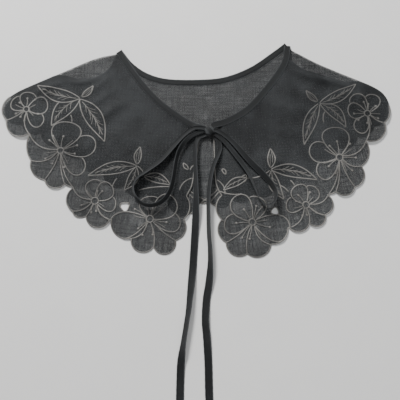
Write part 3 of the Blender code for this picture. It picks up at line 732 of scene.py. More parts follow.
def swept(centre, side, up, section, closed=False, widths=None):
    """A section carried along a line: each point is centre + side * across + up * height.

    The section goes anticlockwise from the side direction towards up, and may change along the line.
    Widths are the pattern's second coordinate for each of its points, or else the way round it.
    """
    section = np.broadcast_to(section, (len(centre), *np.shape(section)[-2:]))
    count, sides = section.shape[:2]
    points = (centre[:, None] + side[:, None] * section[..., :1] + up[:, None] * section[..., 1:])
    rows = np.arange(count if closed else count - 1)[:, None]
    columns = np.arange(sides)[None]
    following = (rows + 1) % count
    beyond = (columns + 1) % sides
    quads = np.stack([rows * sides + columns, rows * sides + beyond,
                      following * sides + beyond, following * sides + columns], axis=-1)
    lengths = run_lengths(round_again(centre) if closed else centre)
    if widths is None:
        girth = run_lengths(round_again(section[count // 2]))
    else:
        girth = np.append(widths, widths[0])
    here, there = np.broadcast_arrays(lengths[rows], girth[columns])
    ahead, onward = np.broadcast_arrays(lengths[rows + 1], girth[columns + 1])
    corners = np.stack([
        np.stack([here, there], axis=-1), np.stack([here, onward], axis=-1),
        np.stack([ahead, onward], axis=-1), np.stack([ahead, there], axis=-1)], axis=2).reshape(-1, 2)
    faces = quads.reshape(-1, 4).tolist()
    if not closed:
        faces.append(list(range(sides))[::-1])
        faces.append(list(range((count - 1) * sides, count * sides)))
        start_cap = np.column_stack([np.full(sides, lengths[0]), girth[:sides][::-1]])
        end_cap = np.column_stack([np.full(sides, lengths[-1]), girth[:sides]])
        corners = np.vstack([corners, start_cap, end_cap])
    return Part(points.reshape(-1, 3), faces, corners)


def rows_inside(outline):
    """Rows of points just inside an outline, which run on round it."""
    inward = side_directions(outline, closed=True)
    rows = []
    for inset in EDGE_ROWS:
        row = outline + inward * inset
        rows.append(row[distance_to_line(row, round_again(outline)) > inset * 0.9])
    return np.vstack(rows)


def cloth_points(outline, holes):
    """Points all over a panel: staggered rows inside it, and closer rows beside its edge."""
    low, high = outline.min(axis=0), outline.max(axis=0)
    across = np.arange(low[0], high[0], CLOTH_GRID)
    up = np.arange(low[1], high[1], CLOTH_GRID * math.sqrt(0.75))
    plan = np.stack(np.meshgrid(across, up), axis=-1)
    plan[1::2, :, 0] += CLOTH_GRID / 2
    points = plan.reshape(-1, 2)
    points = points[inside(points, outline)]
    points = points[distance_to_line(points, round_again(outline)) > EDGE_ROWS[-1] + CLOTH_GRID * 0.4]
    points = np.vstack([rows_inside(outline), points])
    for hole in holes:
        clear = ~inside(points, hole) & (distance_to_line(points, round_again(hole)) > CLOTH_GRID * 0.3)
        points = points[clear]
    return points


def cloth_pattern(outline, holes):
    """The flat pattern of a panel: its points and its triangles."""
    loops = [outline, *holes]
    edges = []
    first = 0
    for loop in loops:
        ring = np.arange(len(loop))
        edges += (first + np.column_stack([ring, np.roll(ring, -1)])).tolist()
        first += len(loop)
    flat = np.vstack([*loops, cloth_points(outline, holes)])
    points, _, faces, *_ = delaunay_2d_cdt([Vector(point) for point in flat], edges, [], 0, 1e-4)
    points = np.array(points)
    faces = np.array(faces)
    middles = points[faces].mean(axis=1)
    keep = inside(middles, outline)
    for hole in holes:
        keep &= ~inside(middles, hole)
    return points, faces[keep]


def cloth_shell(flat, faces, heights, wall):
    """A closed thin shell: the sheet moved half its wall to either side along its own normals."""
    sheet = np.column_stack([flat, heights])
    first, second, third = (sheet[faces[:, corner]] for corner in range(3))
    facing = np.cross(second - first, third - first)
    normals = np.zeros_like(sheet)
    for corner in range(3):
        np.add.at(normals, faces[:, corner], facing)
    normals /= np.linalg.norm(normals, axis=1)[:, None]
    count = len(sheet)
    sides = np.vstack([faces[:, [0, 1]], faces[:, [1, 2]], faces[:, [2, 0]]])
    keys = sides[:, 0] * count + sides[:, 1]
    rim = sides[~np.isin(keys, sides[:, 1] * count + sides[:, 0])]
    walls = np.column_stack([rim, rim[:, ::-1] + count])
    top = faces + count
    under = faces[:, ::-1]
    points = np.vstack([sheet - normals * wall / 2, sheet + normals * wall / 2])
    return Part(points, top.tolist() + under.tolist() + walls.tolist(), np.zeros((0, 2)))


def turned_in(cut, heights_of, wall, most):
    """The cloth that a front turns under itself: a thin strip below it along its shoulder edge.

    Its width is most * sin(pi s) ** 0.8, where s runs from 0 to 1 along the edge.
    """
    edge = cut.shoulder[3:-3]
    lengths = run_lengths(edge)
    width = most * np.sin(math.pi * np.clip(lengths / lengths[-1], 0.01, 0.99)) ** 0.8
    normal = side_directions(edge)
    inward = normal * np.where(inside(edge + normal * 2.0, cut.outline), 1.0, -1.0)[:, None]
    steps = np.linspace(0.0, 1.0, TURN_POINTS)
    plan = edge[:, None] + inward[:, None] * (TURN_CLEAR + width[:, None] * steps)[..., None]
    drop = TURN_DROP + TURN_SINK * ease(steps * 2.0)
    heights = heights_of(plan.reshape(-1, 2)) - np.broadcast_to(drop, plan.shape[:2]).ravel()
    rows, columns = np.arange(len(edge) - 1)[:, None], np.arange(TURN_POINTS - 1)[None]
    first = rows * TURN_POINTS + columns
    second = first + TURN_POINTS
    quads = np.stack([first, first + 1, second + 1, second], axis=-1).reshape(-1, 4)
    faces = np.vstack([quads[:, [0, 1, 2]], quads[:, [0, 2, 3]]])
    flat = plan.reshape(-1, 2)
    sides = flat[faces]
    turn = np.cross(sides[:, 1] - sides[:, 0], sides[:, 2] - sides[:, 0])
    faces = np.where((turn > 0.0)[:, None], faces, faces[:, ::-1])
    return cloth_shell(flat, faces, heights, wall)


# Embroidery

Stroke = namedtuple("Stroke", "line width closed")


def bent(start, end, bow, step=STITCH_STEP):
    """A line from start to end that bows to its left: bow * 4 s (1 - s) across it."""
    start, end = np.array(start, dtype=float), np.array(end, dtype=float)
    along = end - start
    length = float(np.linalg.norm(along))
    share = np.linspace(0.0, 1.0, max(4, round(length / step) + 1))[:, None]
    across = np.array((-along[1], along[0])) / length
    return start + along * share + across * bow * 4.0 * share * (1.0 - share)


def petal_outline(bloom, petal):
    """A drop shape from the ring: L (1 - cos t) / 2 along it, and W sin t sin(t / 2) across it."""
    turn = np.linspace(0.0, math.tau, 90)
    along = petal.length * (1.0 - np.cos(turn)) / 2.0
    across = petal.width * np.sin(turn) * np.sin(turn / 2.0) / 0.77
    across += petal.lean * (along / petal.length) ** 2
    angle = math.radians(petal.angle)
    plan = np.column_stack([along * math.cos(angle) - across * math.sin(angle),
                            along * math.sin(angle) + across * math.cos(angle)])
    return evenly(plan + (bloom.x, bloom.y), STITCH_STEP)


def leaf_shape(leaf, share, reach):
    """A point on the leaf: share along its bent middle line, reach in half widths to its left."""
    start = np.array((leaf.x1, leaf.y1))
    along = np.array((leaf.x2, leaf.y2)) - start
    across = np.array((-along[1], along[0])) / np.linalg.norm(along)
    share = np.asarray(share, dtype=float)[..., None]
    half = leaf.width * np.sin(math.pi * share ** 0.85)
    sway = leaf.bow * 4.0 * share * (1.0 - share)
    return start + along * share + across * (sway + half * np.asarray(reach)[..., None])


def leaf_sides(leaf):
    """The leaf's left and right edges."""
    share = np.linspace(0.0, 1.0, 40)
    return [evenly(leaf_shape(leaf, share, np.full(40, side)), STITCH_STEP) for side in (1.0, -1.0)]


def leaf_strokes(leaf, look):
    """Both edges of a leaf, its middle vein and side veins that slant towards its tip."""
    strokes = [Stroke(side, look.line / MM, False) for side in leaf_sides(leaf)]
    fine = look.fine / MM
    middle = leaf_shape(leaf, np.linspace(0.06, 0.86, 24), np.zeros(24))
    strokes.append(Stroke(evenly(middle, STITCH_STEP), fine, False))
    for vein in range(2 * leaf.veins):
        root = 0.16 + 0.3 * vein / leaf.veins
        side = 1.0 if vein % 2 else -1.0
        reach = side * (0.5 + 0.22 * math.sin(vein * 2.3))
        ends = leaf_shape(leaf, [root, root + 0.15], [0.0, reach])
        strokes.append(Stroke(bent(ends[0], ends[1], -side * 0.5, 0.8), fine * VEIN_WIDTH, False))
    return strokes


def bud_strokes(bud, look):
    """A closed bud: two narrow sides and, in all but the smallest, two shorter lines between them."""
    leaf = Leaf(bud.x1, bud.y1, bud.x2, bud.y2, bud.width, bud.bow, 0)
    strokes = [Stroke(side, look.line / MM, False) for side in leaf_sides(leaf)]
    if bud.width < 2.5:
        return strokes
    for first, last, reach in ((0.1, 0.72, 0.38), (0.2, 0.86, -0.3)):
        line = leaf_shape(leaf, np.linspace(first, last, 14), np.full(14, reach))
        strokes.append(Stroke(line, look.fine / MM * VEIN_WIDTH, False))
    return strokes


def stamen_strokes(bloom, look):
    """Fine lines that spread from the ring, three in four of them with a round dot at the end."""
    strokes = []
    fine = look.fine / MM
    for stamen in range(bloom.stamens):
        wander = 9.0 * math.sin(stamen * 2.4 + bloom.spin)
        angle = math.radians(bloom.spin + 360.0 * stamen / bloom.stamens + wander)
        way = np.array((math.cos(angle), math.sin(angle)))
        reach = STAMEN_REACH[bloom.flower] + STAMEN_SPREAD * ((stamen * GOLDEN + bloom.x * 0.1) % 1.0)
        start = np.array((bloom.x, bloom.y)) + way * bloom.ring
        end = start + way * reach
        strokes.append(Stroke(bent(start, end, 0.7 * math.sin(stamen * 1.9)), fine, False))
        if stamen % 4:
            half = way * DOT_SIZE / 2
            strokes.append(Stroke(bent(end - half, end + half, 0.0, 0.28), DOT_SIZE, False))
    return strokes


def hem_veins(lobes, blooms, look):
    """A line from each notch in the hem to its flower's ring, bowed as the side of an upper petal."""
    strokes = []
    for bloom in blooms:
        ring = np.array((bloom.x, bloom.y))
        own = [lobe for lobe in lobes if lobe.flower == bloom.flower
               and math.hypot(lobe.x - bloom.x, lobe.y - bloom.y) < 60.0]
        outwards = np.mean([(lobe.x, lobe.y) for lobe in own], axis=0) - ring
        outwards /= np.linalg.norm(outwards)
        for first, second in zip(lobes, lobes[1:]):
            if first not in own and second not in own:
                continue
            corner = notch(first, second)
            away = corner - ring
            length = float(np.linalg.norm(away))
            turned = (away[0] * outwards[1] - away[1] * outwards[0]) / length
            start = ring + away / length * bloom.ring
            strokes.append(Stroke(bent(start, corner, 0.17 * length * turned), look.line / MM, False))
    return strokes


def visible_runs(stroke, covers, outline):
    """The stretches of a stroke that are on the cloth and not under an upper petal."""
    line = stroke.line
    seen = inside(line, outline)
    for cover in covers:
        seen &= ~inside(line, cover)
    if seen.all():
        return [stroke]
    breaks = np.flatnonzero(np.diff(seen)) + 1
    runs = [run for run in np.split(np.arange(len(line)), breaks) if seen[run[0]] and len(run) > 3]
    return [Stroke(line[run], stroke.width, False) for run in runs]


def design(cut, holes, lobes, blooms, petals, leaves, buds, twigs, look):
    """Every satin line of one panel, each cut off where an upper petal or the hem covers it."""
    outline = cut.outline
    line = look.line / MM
    strokes = []
    covers = list(holes)
    for bloom in blooms:
        ring = circle(bloom.x, bloom.y, bloom.ring, 0.8)
        strokes.append(Stroke(ring, line * 1.1, True))
        strokes += stamen_strokes(bloom, look)
        near = [ring]
        for petal in petals:
            if petal.flower == bloom.flower:
                shape = petal_outline(bloom, petal)
                strokes += visible_runs(Stroke(shape, line, False), near + covers, outline)
                near.append(shape)
        covers += near[1:]
    for vein in hem_veins(lobes, blooms, look):
        strokes += visible_runs(vein, covers, outline)
    for leaf in leaves:
        sides = leaf_sides(leaf)
        for stroke in leaf_strokes(leaf, look):
            strokes += visible_runs(stroke, covers, outline)
        covers.append(np.vstack([sides[0], sides[1][::-1]]))
    for bud in buds:
        for stroke in bud_strokes(bud, look):
            strokes += visible_runs(stroke, covers, outline)
    for twig in twigs:
        stem = Stroke(bent((twig.x1, twig.y1), (twig.x2, twig.y2), twig.bow), line, False)
        strokes += visible_runs(stem, covers, outline)
    for hole in holes:
        strokes.append(Stroke(hole, line, True))
    hem = cut.hem + side_directions(cut.hem) * EDGE_STITCH_IN
    strokes.append(Stroke(hem, line * 1.05, False))
    return strokes


def stitched(strokes, heights_of, rise):
    """Satin lines as flattened tubes with round ends, centred on the cloth so both faces show them."""
    spots = np.cumsum([len(stroke.line) for stroke in strokes])[:-1]
    heights = np.split(heights_of(np.vstack([stroke.line for stroke in strokes])), spots)
    parts = []
    for stroke, height in zip(strokes, heights):
        centre = np.column_stack([stroke.line, height])
        side, up = level_ways(stroke.line, stroke.closed)
        lengths = run_lengths(centre)
        half = stroke.width / 2
        swell = np.ones(len(centre))
        if not stroke.closed:
            near = np.clip(np.minimum(lengths, lengths[-1] - lengths) / half, 0.04, 1.0)
            swell = np.sqrt(1.0 - (1.0 - near) ** 2)
        section = round_ways(STITCH_SIDES)[1] * (half, rise / 2) * swell[:, None, None]
        parts.append(swept(centre, side, up, section, stroke.closed))
    return joined(parts)


# Tape

def tape_section(width, thickness, gather):
    """The folded tape's section: a shallow hollow between thick edges, grooved where it is stitched.

    Gathered tape is narrower by GATHER_IN, thicker by GATHER_UP and more hollow, all times its gather.
    """
    edge = np.sqrt(1.0 - np.abs(TAPE_ACROSS) ** 10)
    groove = SEAM_DEPTH * np.exp(-((TAPE_ACROSS - SEAM_AT) / SEAM_WIDTH) ** 2)
    hollow = (TAPE_HOLLOW + GATHER_HOLLOW * gather[:, None]) * (1.0 - TAPE_ACROSS ** 4)
    top = edge * (1.0 - hollow) - groove
    under = -np.broadcast_to(edge[1:-1] * 0.92, (len(gather), len(edge) - 2))
    across = np.broadcast_to(TAPE_ROUND, (len(gather), len(TAPE_ROUND)))
    section = np.stack([across * width / 2, np.hstack([top, under[:, ::-1]]) * thickness / 2], axis=-1)
    return section * np.column_stack([1.0 - GATHER_IN * gather, 1.0 + GATHER_UP * gather])[:, None]


def tape_part(centre, side, up, width, thickness, pucker, gather):
    """A stretch of tape with its row of stitches: the section swells a little between them."""
    lengths = run_lengths(centre)
    beat = math.tau * lengths / SEAM_STITCH
    section = tape_section(width, thickness, gather) * np.stack(
        [1.0 + 0.012 * np.sin(beat * 0.37), 1.0 + pucker * np.sin(beat)], axis=-1)[:, None]
    band = swept(centre, side, up, section, widths=TAPE_ROUND * TIE_WIDTH / 2)
    dense = evenly(np.hstack([centre, side, up, gather[:, None]]), SEAM_STITCH / 5)
    middle, across, above, tight = dense[:, :3], dense[:, 3:6], dense[:, 6:9], dense[:, 9:]
    wave = np.cos(math.tau * run_lengths(middle) / SEAM_STITCH)[:, None]
    seam = (middle + across * SEAM_AT * width / 2 * (1.0 - GATHER_IN * tight)
            + above * (thickness * 0.33 * (1.0 + GATHER_UP * tight) + 0.14 * wave))
    thread = round_ways(SEAM_SIDES)[1] * SEAM_THREAD / 2
    return joined([band, swept(seam, across, above, thread)])


def tie_frame(route):
    """Middle line, side and upward directions of a free stretch of tape, from its route's rows."""
    line = smooth_curve(route, TAPE_STEP)
    turn = np.radians(line[:, 3])[:, None]
    side, up = level_ways(line)
    half_rise = np.abs(np.sin(turn)) * TIE_WIDTH / 2 + np.cos(turn) * TIE_THICK / 2
    middle = np.hstack([line[:, :2], np.maximum(line[:, 2:3], 0.0) + half_rise])
    return middle, side * np.cos(turn) + up * np.sin(turn), up * np.cos(turn) - side * np.sin(turn)


def into_knot(row):
    """One more row for a route, a little way on from its first or last row into the knot."""
    way = np.array((KNOT_CENTRE.x - row.x, KNOT_CENTRE.y - row.y))
    step = way / np.linalg.norm(way) * KNOT_REACH_IN
    return Route(row.x + step[0], row.y + step[1], row.rest, row.turn)


def turned_over(centre, side, up, away, radius):
    """A half turn of tape at a fold: from the end of a run, up and back on itself."""
    angle = np.linspace(0.0, math.pi, 9)[1:, None]
    arc = centre + away * np.sin(angle) * radius * 0.8 + UP * ((1.0 - np.cos(angle)) * radius)
    facing = up * np.cos(angle) + away * np.sin(angle)
    return arc, np.broadcast_to(side, arc.shape), facing


def neck_frame(neck, level, folds_over):
    """The neck tape's middle line and directions, turned upwards where it folds over at a shoulder."""
    line = smooth_curve(neck, TAPE_STEP)
    side, up = level_ways(line)
    middle = np.column_stack([line, np.full(len(line), level + TAPE_THICK / 2)])
    if not folds_over:
        past = run_lengths(middle)
        rise = ease((past - past[-1] + NECK_RISE_RUN) / NECK_RISE_RUN)
        rise *= KNOT_HEIGHT - level - TAPE_THICK / 2 - 0.7
        middle[:, 2] += rise
        reach = np.append(np.array(KNOT_CENTRE), middle[-1, 2])
        way = (reach - middle[-1]) / np.linalg.norm(reach - middle[-1])
        on = middle[-1] + way * np.array(((1.6,), (KNOT_REACH_IN,)))
        return (np.vstack([middle, on]), np.vstack([side, side[-1:], side[-1:]]),
                np.vstack([up, up[-2:]]))
    radius = FRONT_LEVEL / 2
    ahead = np.column_stack([side[:, 1], -side[:, 0], side[:, 2]])
    last = turned_over(middle[-1], side[-1], up[-1], ahead[-1], radius)
    first = turned_over(middle[0], side[0], up[0], -ahead[0], radius)
    return tuple(np.vstack([start[::-1], run, end])
                 for start, run, end in zip(first, (middle, side, up), last))


def knot_core():
    """A rounded block drawn out towards a box, with soft pleats round its waist."""
    polar = np.linspace(0.04, math.pi - 0.04, 22)[:, None]
    round_it = np.linspace(0.0, math.tau, 48, endpoint=False)[None]
    globe = np.stack(np.broadcast_arrays(
        np.sin(polar) * np.cos(round_it), np.sin(polar) * np.sin(round_it), np.cos(polar)), axis=-1)
    block = np.sign(globe) * np.abs(globe) ** KNOT_SQUARE * KNOT_CORE / 2
    pleats = 1.0 + KNOT_PLEAT_DEPTH * np.sin(KNOT_PLEATS * round_it + 1.4 * polar) * np.sin(polar)
    block[..., :2] *= pleats[..., None]
    turn = math.radians(KNOT_TURN)
    x, y = block[..., 0], block[..., 1]
    points = np.stack([KNOT_CENTRE.x + x * math.cos(turn) - y * math.sin(turn),
                       KNOT_CENTRE.y + x * math.sin(turn) + y * math.cos(turn),
                       KNOT_HEIGHT + block[..., 2]], axis=-1)
    rings, sides = points.shape[:2]
    rows, columns = np.arange(rings - 1)[:, None], np.arange(sides)[None]
    beyond = (columns + 1) % sides
    quads = np.stack(np.broadcast_arrays(
        rows * sides + columns, (rows + 1) * sides + columns,
        (rows + 1) * sides + beyond, rows * sides + beyond), axis=-1).reshape(-1, 4)
    faces = [*quads.tolist(), list(range(sides)), list(range((rings - 1) * sides, rings * sides))[::-1]]
    flat = points.reshape(-1, 3)
    corners = np.vstack([flat[face][:, :2] for face in map(np.array, faces)])
    return Part(flat, faces, corners)


def knot_band():
    """The strand that goes once round the knot: the tape's section carried round an oval."""
    angle = np.linspace(0.0, math.tau, 44, endpoint=False)
    turn = math.radians(KNOT_BAND_TURN)
    way = np.array((math.cos(turn), math.sin(turn), 0.0))
    reach, rise = KNOT_BAND_REACH
    cosine, sine = np.cos(angle)[:, None], np.sin(angle)[:, None]
    middle = np.array((KNOT_CENTRE.x, KNOT_CENTRE.y, KNOT_HEIGHT))
    centre = middle + way * reach * cosine + UP * rise * sine
    outward = way * cosine / reach + UP * sine / rise
    outward /= np.linalg.norm(outward, axis=1)[:, None]
    ahead = -way * reach * sine + UP * rise * cosine
    side = np.cross(outward, ahead)
    side /= np.linalg.norm(side, axis=1)[:, None]
    pinch = 1.0 - 0.12 * np.abs(sine)
    section = tape_section(KNOT_BAND_WIDTH, TIE_THICK, np.zeros(len(angle))) * np.stack(
        [pinch, np.ones_like(pinch)], axis=-1)
    return swept(centre, side, outward, section, True, TAPE_ROUND * TIE_WIDTH / 2)


# Materials

def new_group(name, inputs, outputs):
    """An empty shader group with float inputs (a vector where the name is Vector) and float outputs."""
    group = bpy.data.node_groups.new(name, "ShaderNodeTree")
    for label, default in inputs:
        kind = "NodeSocketVector" if label == "Vector" else "NodeSocketFloat"
        socket = group.interface.new_socket(name=label, in_out="INPUT", socket_type=kind)
        if default is not None:
            socket.default_value = default
    for label in outputs:
        group.interface.new_socket(name=label, in_out="OUTPUT", socket_type="NodeSocketFloat")
    return group, group.nodes.new("NodeGroupInput"), group.nodes.new("NodeGroupOutput")


def feed(tree, node, sources):
    """Puts a number or another node's output into each of a node's inputs that is named."""
    for label, source in sources.items():
        if isinstance(source, bpy.types.NodeSocket):
            tree.links.new(source, node.inputs[label])
        else:
            node.inputs[label].default_value = source


def add_node(tree, kind, sources, **settings):
    """The outputs of a new node with its settings and inputs given."""
    node = tree.nodes.new("ShaderNode" + kind)
    for name, value in settings.items():
        setattr(node, name, value)
    feed(tree, node, sources)
    return node.outputs


def maths(tree, operation, first, second=0.0, third=0.0):
    """A Math node's value."""
    return add_node(tree, "Math", {0: first, 1: second, 2: third}, operation=operation)["Value"]


def ranged(tree, value, from_min, from_max, to_min, to_max):
    """A value taken smoothly from one range to another."""
    sources = {"Value": value, "From Min": from_min, "From Max": from_max, "To Min": to_min,
               "To Max": to_max}
    return add_node(tree, "MapRange", sources, interpolation_type="SMOOTHSTEP")["Result"]


def noise(tree, vector, scale, detail):
    """Noise of so many features in a metre, or in a unit of the vector."""
    return add_node(tree, "TexNoise", {"Vector": vector, "Scale": scale, "Detail": detail})["Fac"]


def slubs(tree, place, across, along, layer):
    """How thick each row of threads is just here: noise drawn out along the rows."""
    drawn = add_node(tree, "CombineXYZ", {
        "X": maths(tree, "MULTIPLY", place[across], SLUB_ROWS),
        "Y": maths(tree, "MULTIPLY", place[along], SLUB_RUNS),
        "Z": layer})
    return noise(tree, drawn["Vector"], 1.0, 2.0)


def woven_group():
    """Plain weave: two sets of uneven threads, over and under each other by turns."""
    group, start, end = new_group(
        "woven cloth", (("Vector", None), ("Pitch", 0.0005), ("Share", 0.36)), ("Thread", "Height"))
    place = add_node(group, "SeparateXYZ", {"Vector": start.outputs["Vector"]})
    wander = noise(group, start.outputs["Vector"], 420.0, 2.0)
    masks = []
    turns = []
    for axis, along, layer in (("X", "Y", 0.0), ("Y", "X", 7.0)):
        count = maths(group, "DIVIDE", place[axis], start.outputs["Pitch"])
        count = maths(group, "MULTIPLY_ADD", wander, 0.9, count)
        apart = maths(group, "PINGPONG", count, 0.5)
        thick = maths(group, "MULTIPLY_ADD", slubs(group, place, axis, along, layer), 1.5, -0.25)
        edge = maths(group, "MULTIPLY", start.outputs["Share"], thick)
        near = maths(group, "ADD", edge, 0.09)
        masks.append(ranged(group, apart, edge, near, 1.0, 0.0))
        turns.append(maths(group, "COSINE", maths(group, "MULTIPLY", count, math.pi)))
    over = maths(group, "MULTIPLY", turns[0], turns[1])
    first = maths(group, "MULTIPLY", masks[0], maths(group, "MULTIPLY_ADD", over, 0.3, 0.7))
    second = maths(group, "MULTIPLY", masks[1], maths(group, "MULTIPLY_ADD", over, -0.3, 0.7))
    feed(group, end, {"Thread": maths(group, "MAXIMUM", masks[0], masks[1]),
                      "Height": maths(group, "MAXIMUM", first, second)})
    return group


def tone_group():
    """Uneven dye and handling: a slow mottle with fine lint over it, from low to high."""
    group, start, end = new_group(
        "uneven tone", (("Vector", None), ("Low", 0.8), ("High", 1.2)), ("Tone",))
    broad = noise(group, start.outputs["Vector"], MOTTLE[0], 1.0)
    slow = noise(group, start.outputs["Vector"], MOTTLE[1], 3.0)
    fine = noise(group, start.outputs["Vector"], LINT, 2.0)
    both = maths(group, "MULTIPLY_ADD", slow, 0.35, maths(group, "MULTIPLY", broad, 0.3))
    both = maths(group, "MULTIPLY_ADD", fine, 0.35, both)
    tone = ranged(group, both, 0.42, 0.585, start.outputs["Low"], start.outputs["High"])
    feed(group, end, {"Tone": tone})
    return group


def thread_rows_group():
    """Threads laid side by side along a run, each a round ridge that slants across the width."""
    group, start, end = new_group(
        "thread rows", (("Vector", None), ("Pitch", 0.0004), ("Slant", 0.5)), ("Ridge",))
    place = add_node(group, "SeparateXYZ", {"Vector": start.outputs["Vector"]})
    slid = maths(group, "MULTIPLY_ADD", place["Y"], start.outputs["Slant"], place["X"])
    count = maths(group, "DIVIDE", slid, start.outputs["Pitch"])
    apart = maths(group, "PINGPONG", count, 0.5)
    feed(group, end, {"Ridge": maths(group, "SQRT", maths(group, "MULTIPLY", apart, 2.0))})
    return group


Groups = namedtuple("Groups", "woven tone rows")


@lru_cache
def groups():
    """The shader groups, made once."""
    return Groups(woven_group(), tone_group(), thread_rows_group())


def blank_material(name, viewport):
    """A new material, its nodes and its main shader."""
    material = bpy.data.materials.new(name)
    material.use_nodes = True
    material.diffuse_color = (*viewport, 1.0)
    return material, material.node_tree, material.node_tree.nodes["Principled BSDF"]


def use_group(tree, group, **sources):
    """The outputs of a group node."""
    return add_node(tree, "Group", sources, node_tree=group)


def tinted(tree, dark, light, amount):
    """A colour between two others."""
    sources = {"A": (*dark, 1.0), "B": (*light, 1.0), "Factor": amount}
    return add_node(tree, "Mix", sources, data_type="RGBA")["Result"]


def raised(tree, height, distance, strength):
    """Normals that follow a fine height."""
    sources = {"Distance": distance, "Strength": strength, "Height": height}
    return add_node(tree, "Bump", sources)["Normal"]


def shade(colour, factor):
    """The colour times a factor."""
    return tuple(channel * factor for channel in colour)


def object_place(tree):
    """Coordinates in metres on the collar."""
    return add_node(tree, "TexCoord", {})["Object"]


def tape_place(tree):
    """Coordinates in metres along and across a strip or a line."""
    return add_node(tree, "UVMap", {}, uv_map="pattern")["UV"]


def organza(name, look, grain):
    """Sheer woven cloth: opaque fine threads with a faint haze between them, turned by the grain."""
    material, tree, shader = blank_material(name, look.colour)
    where = object_place(tree)
    turned = {"Rotation": (0.0, 0.0, math.radians(grain)), "Vector": where}
    along = add_node(tree, "Mapping", turned)["Vector"]
    weave = use_group(tree, groups().woven, Vector=along, Pitch=look.pitch, Share=look.share)
    tone = use_group(tree, groups().tone, Vector=where, Low=0.0, High=1.0)["Tone"]
    feed(tree, shader, {
        "Base Color": tinted(tree, shade(look.colour, 0.6), shade(look.colour, 1.45), tone),
        "Alpha": ranged(tree, weave["Thread"], 0.0, 1.0, look.gap_cover, 0.80),
        "Roughness": ranged(tree, tone, 0.0, 1.0, 0.52, 0.68),
        "Normal": raised(tree, weave["Height"], 0.00012, 0.6),
        "Sheen Weight": 0.16, "Sheen Roughness": 0.42, "Sheen Tint": (0.92, 0.95, 1.0, 1.0),
        "Specular IOR Level": 0.18})
    return material


def satin_thread(name, look):
    """Silky thread laid across each line, with a painted highlight along the top of every thread.

    Painted shade dims that highlight about one group of leaves near the right shoulder.
    """
    material, tree, shader = blank_material(name, look.colour)
    where = object_place(tree)
    ridge = use_group(
        tree, groups().rows, Vector=tape_place(tree), Pitch=look.pitch, Slant=0.55)["Ridge"]
    tone = use_group(tree, groups().tone, Vector=where, Low=0.1, High=1.0)["Tone"]
    # Painted shade: about one group of leaves near the right shoulder, the thread's painted highlight
    # is dimmed to 12 %.
    away = add_node(tree, "VectorMath", {0: where, 1: PAINTED_SHADE_MIDDLE}, operation="DISTANCE")["Value"]
    out_of_painted_shade = ranged(tree, away, *PAINTED_SHADE_REACH, 0.12, 1.0)
    # Painted highlight along the top of each thread, times the uneven tone and the painted shade.
    painted_light_and_tone = maths(tree, "MULTIPLY", maths(tree, "MULTIPLY", ridge, tone), out_of_painted_shade)
    feed(tree, shader, {
        "Base Color": tinted(tree, shade(look.colour, 0.4), shade(look.colour, 1.6), painted_light_and_tone),
        "Roughness": ranged(tree, tone, 0.25, 1.0, 0.5, 0.36),
        "Normal": raised(tree, ridge, 0.00012, 0.55),
        "Sheen Weight": 0.25, "Sheen Roughness": 0.35, "Specular IOR Level": 0.4})
    return material


def woven_tape(name, look):
    """Matt tape with fine ribs across its run; painted highlights on ribs and edges, painted seam
    shade.
    """
    material, tree, shader = blank_material(name, look.colour)
    where = object_place(tree)
    run = tape_place(tree)
    weave = use_group(tree, groups().woven, Vector=run, Pitch=look.rib, Share=0.6)["Height"]
    tone = use_group(tree, groups().tone, Vector=where, Low=0.0, High=1.0)["Tone"]
    across = add_node(tree, "SeparateXYZ", {"Vector": run})["Y"]
    half = TIE_WIDTH / 2 * MM
    # Painted highlight: the tape is paler along both its edges.
    from_middle = maths(tree, "ABSOLUTE", across)
    painted_edge_highlight = ranged(tree, from_middle, half * 0.68, half * 0.84, 0.0, 1.0)
    # Painted shade: the tape is darker in its stitched groove.
    from_seam = maths(tree, "ABSOLUTE", maths(tree, "SUBTRACT", across, half * SEAM_AT))
    painted_seam_shade = ranged(tree, from_seam, half * 0.03, half * 0.13, 1.0, 0.0)
    # Painted highlight on the ribs: their raised tops are lighter, with the uneven tone over them.
    mixed = maths(tree, "MULTIPLY_ADD", weave, 0.16, maths(tree, "MULTIPLY", tone, 0.2))
    mixed = maths(tree, "MULTIPLY_ADD", painted_edge_highlight, 0.6, mixed)
    mixed = maths(tree, "MULTIPLY_ADD", painted_seam_shade, -0.5, mixed)
    mixed = maths(tree, "MINIMUM", maths(tree, "MAXIMUM", mixed, 0.0), 1.0)
    feed(tree, shader, {
        "Base Color": tinted(tree, shade(look.colour, 0.35), shade(look.colour, 4.6), mixed),
        "Roughness": ranged(tree, tone, 0.0, 1.0, 0.6, 0.78),
        "Normal": raised(tree, weave, 0.00014, 0.6),
        "Sheen Weight": 0.1, "Sheen Roughness": 0.5, "Specular IOR Level": 0.15})
    return material


def floor_material(look):
    """A plain pale surface with the faintest unevenness."""
    material, tree, shader = blank_material("pale floor", look.floor)
    tone = use_group(tree, groups().tone, Vector=object_place(tree), Low=0.0, High=1.0)["Tone"]
    feed(tree, shader, {
        "Base Color": tinted(tree, shade(look.floor, 0.985), look.floor, tone), "Roughness": 0.9})
    return material


# Operators

def keep(piece, slot, *nodes):
    """Rides a piece on the collar and hides the plain solids it stands for; its finish slot is not
    used.
    """
    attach(piece, "root")
    if nodes:
        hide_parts(*nodes)
    return piece


def tape_of(context):
    """The tape's material, made once."""
    found = bpy.data.materials.get("black tape")
    return found or woven_tape("black tape", context.scene.collar.tape)


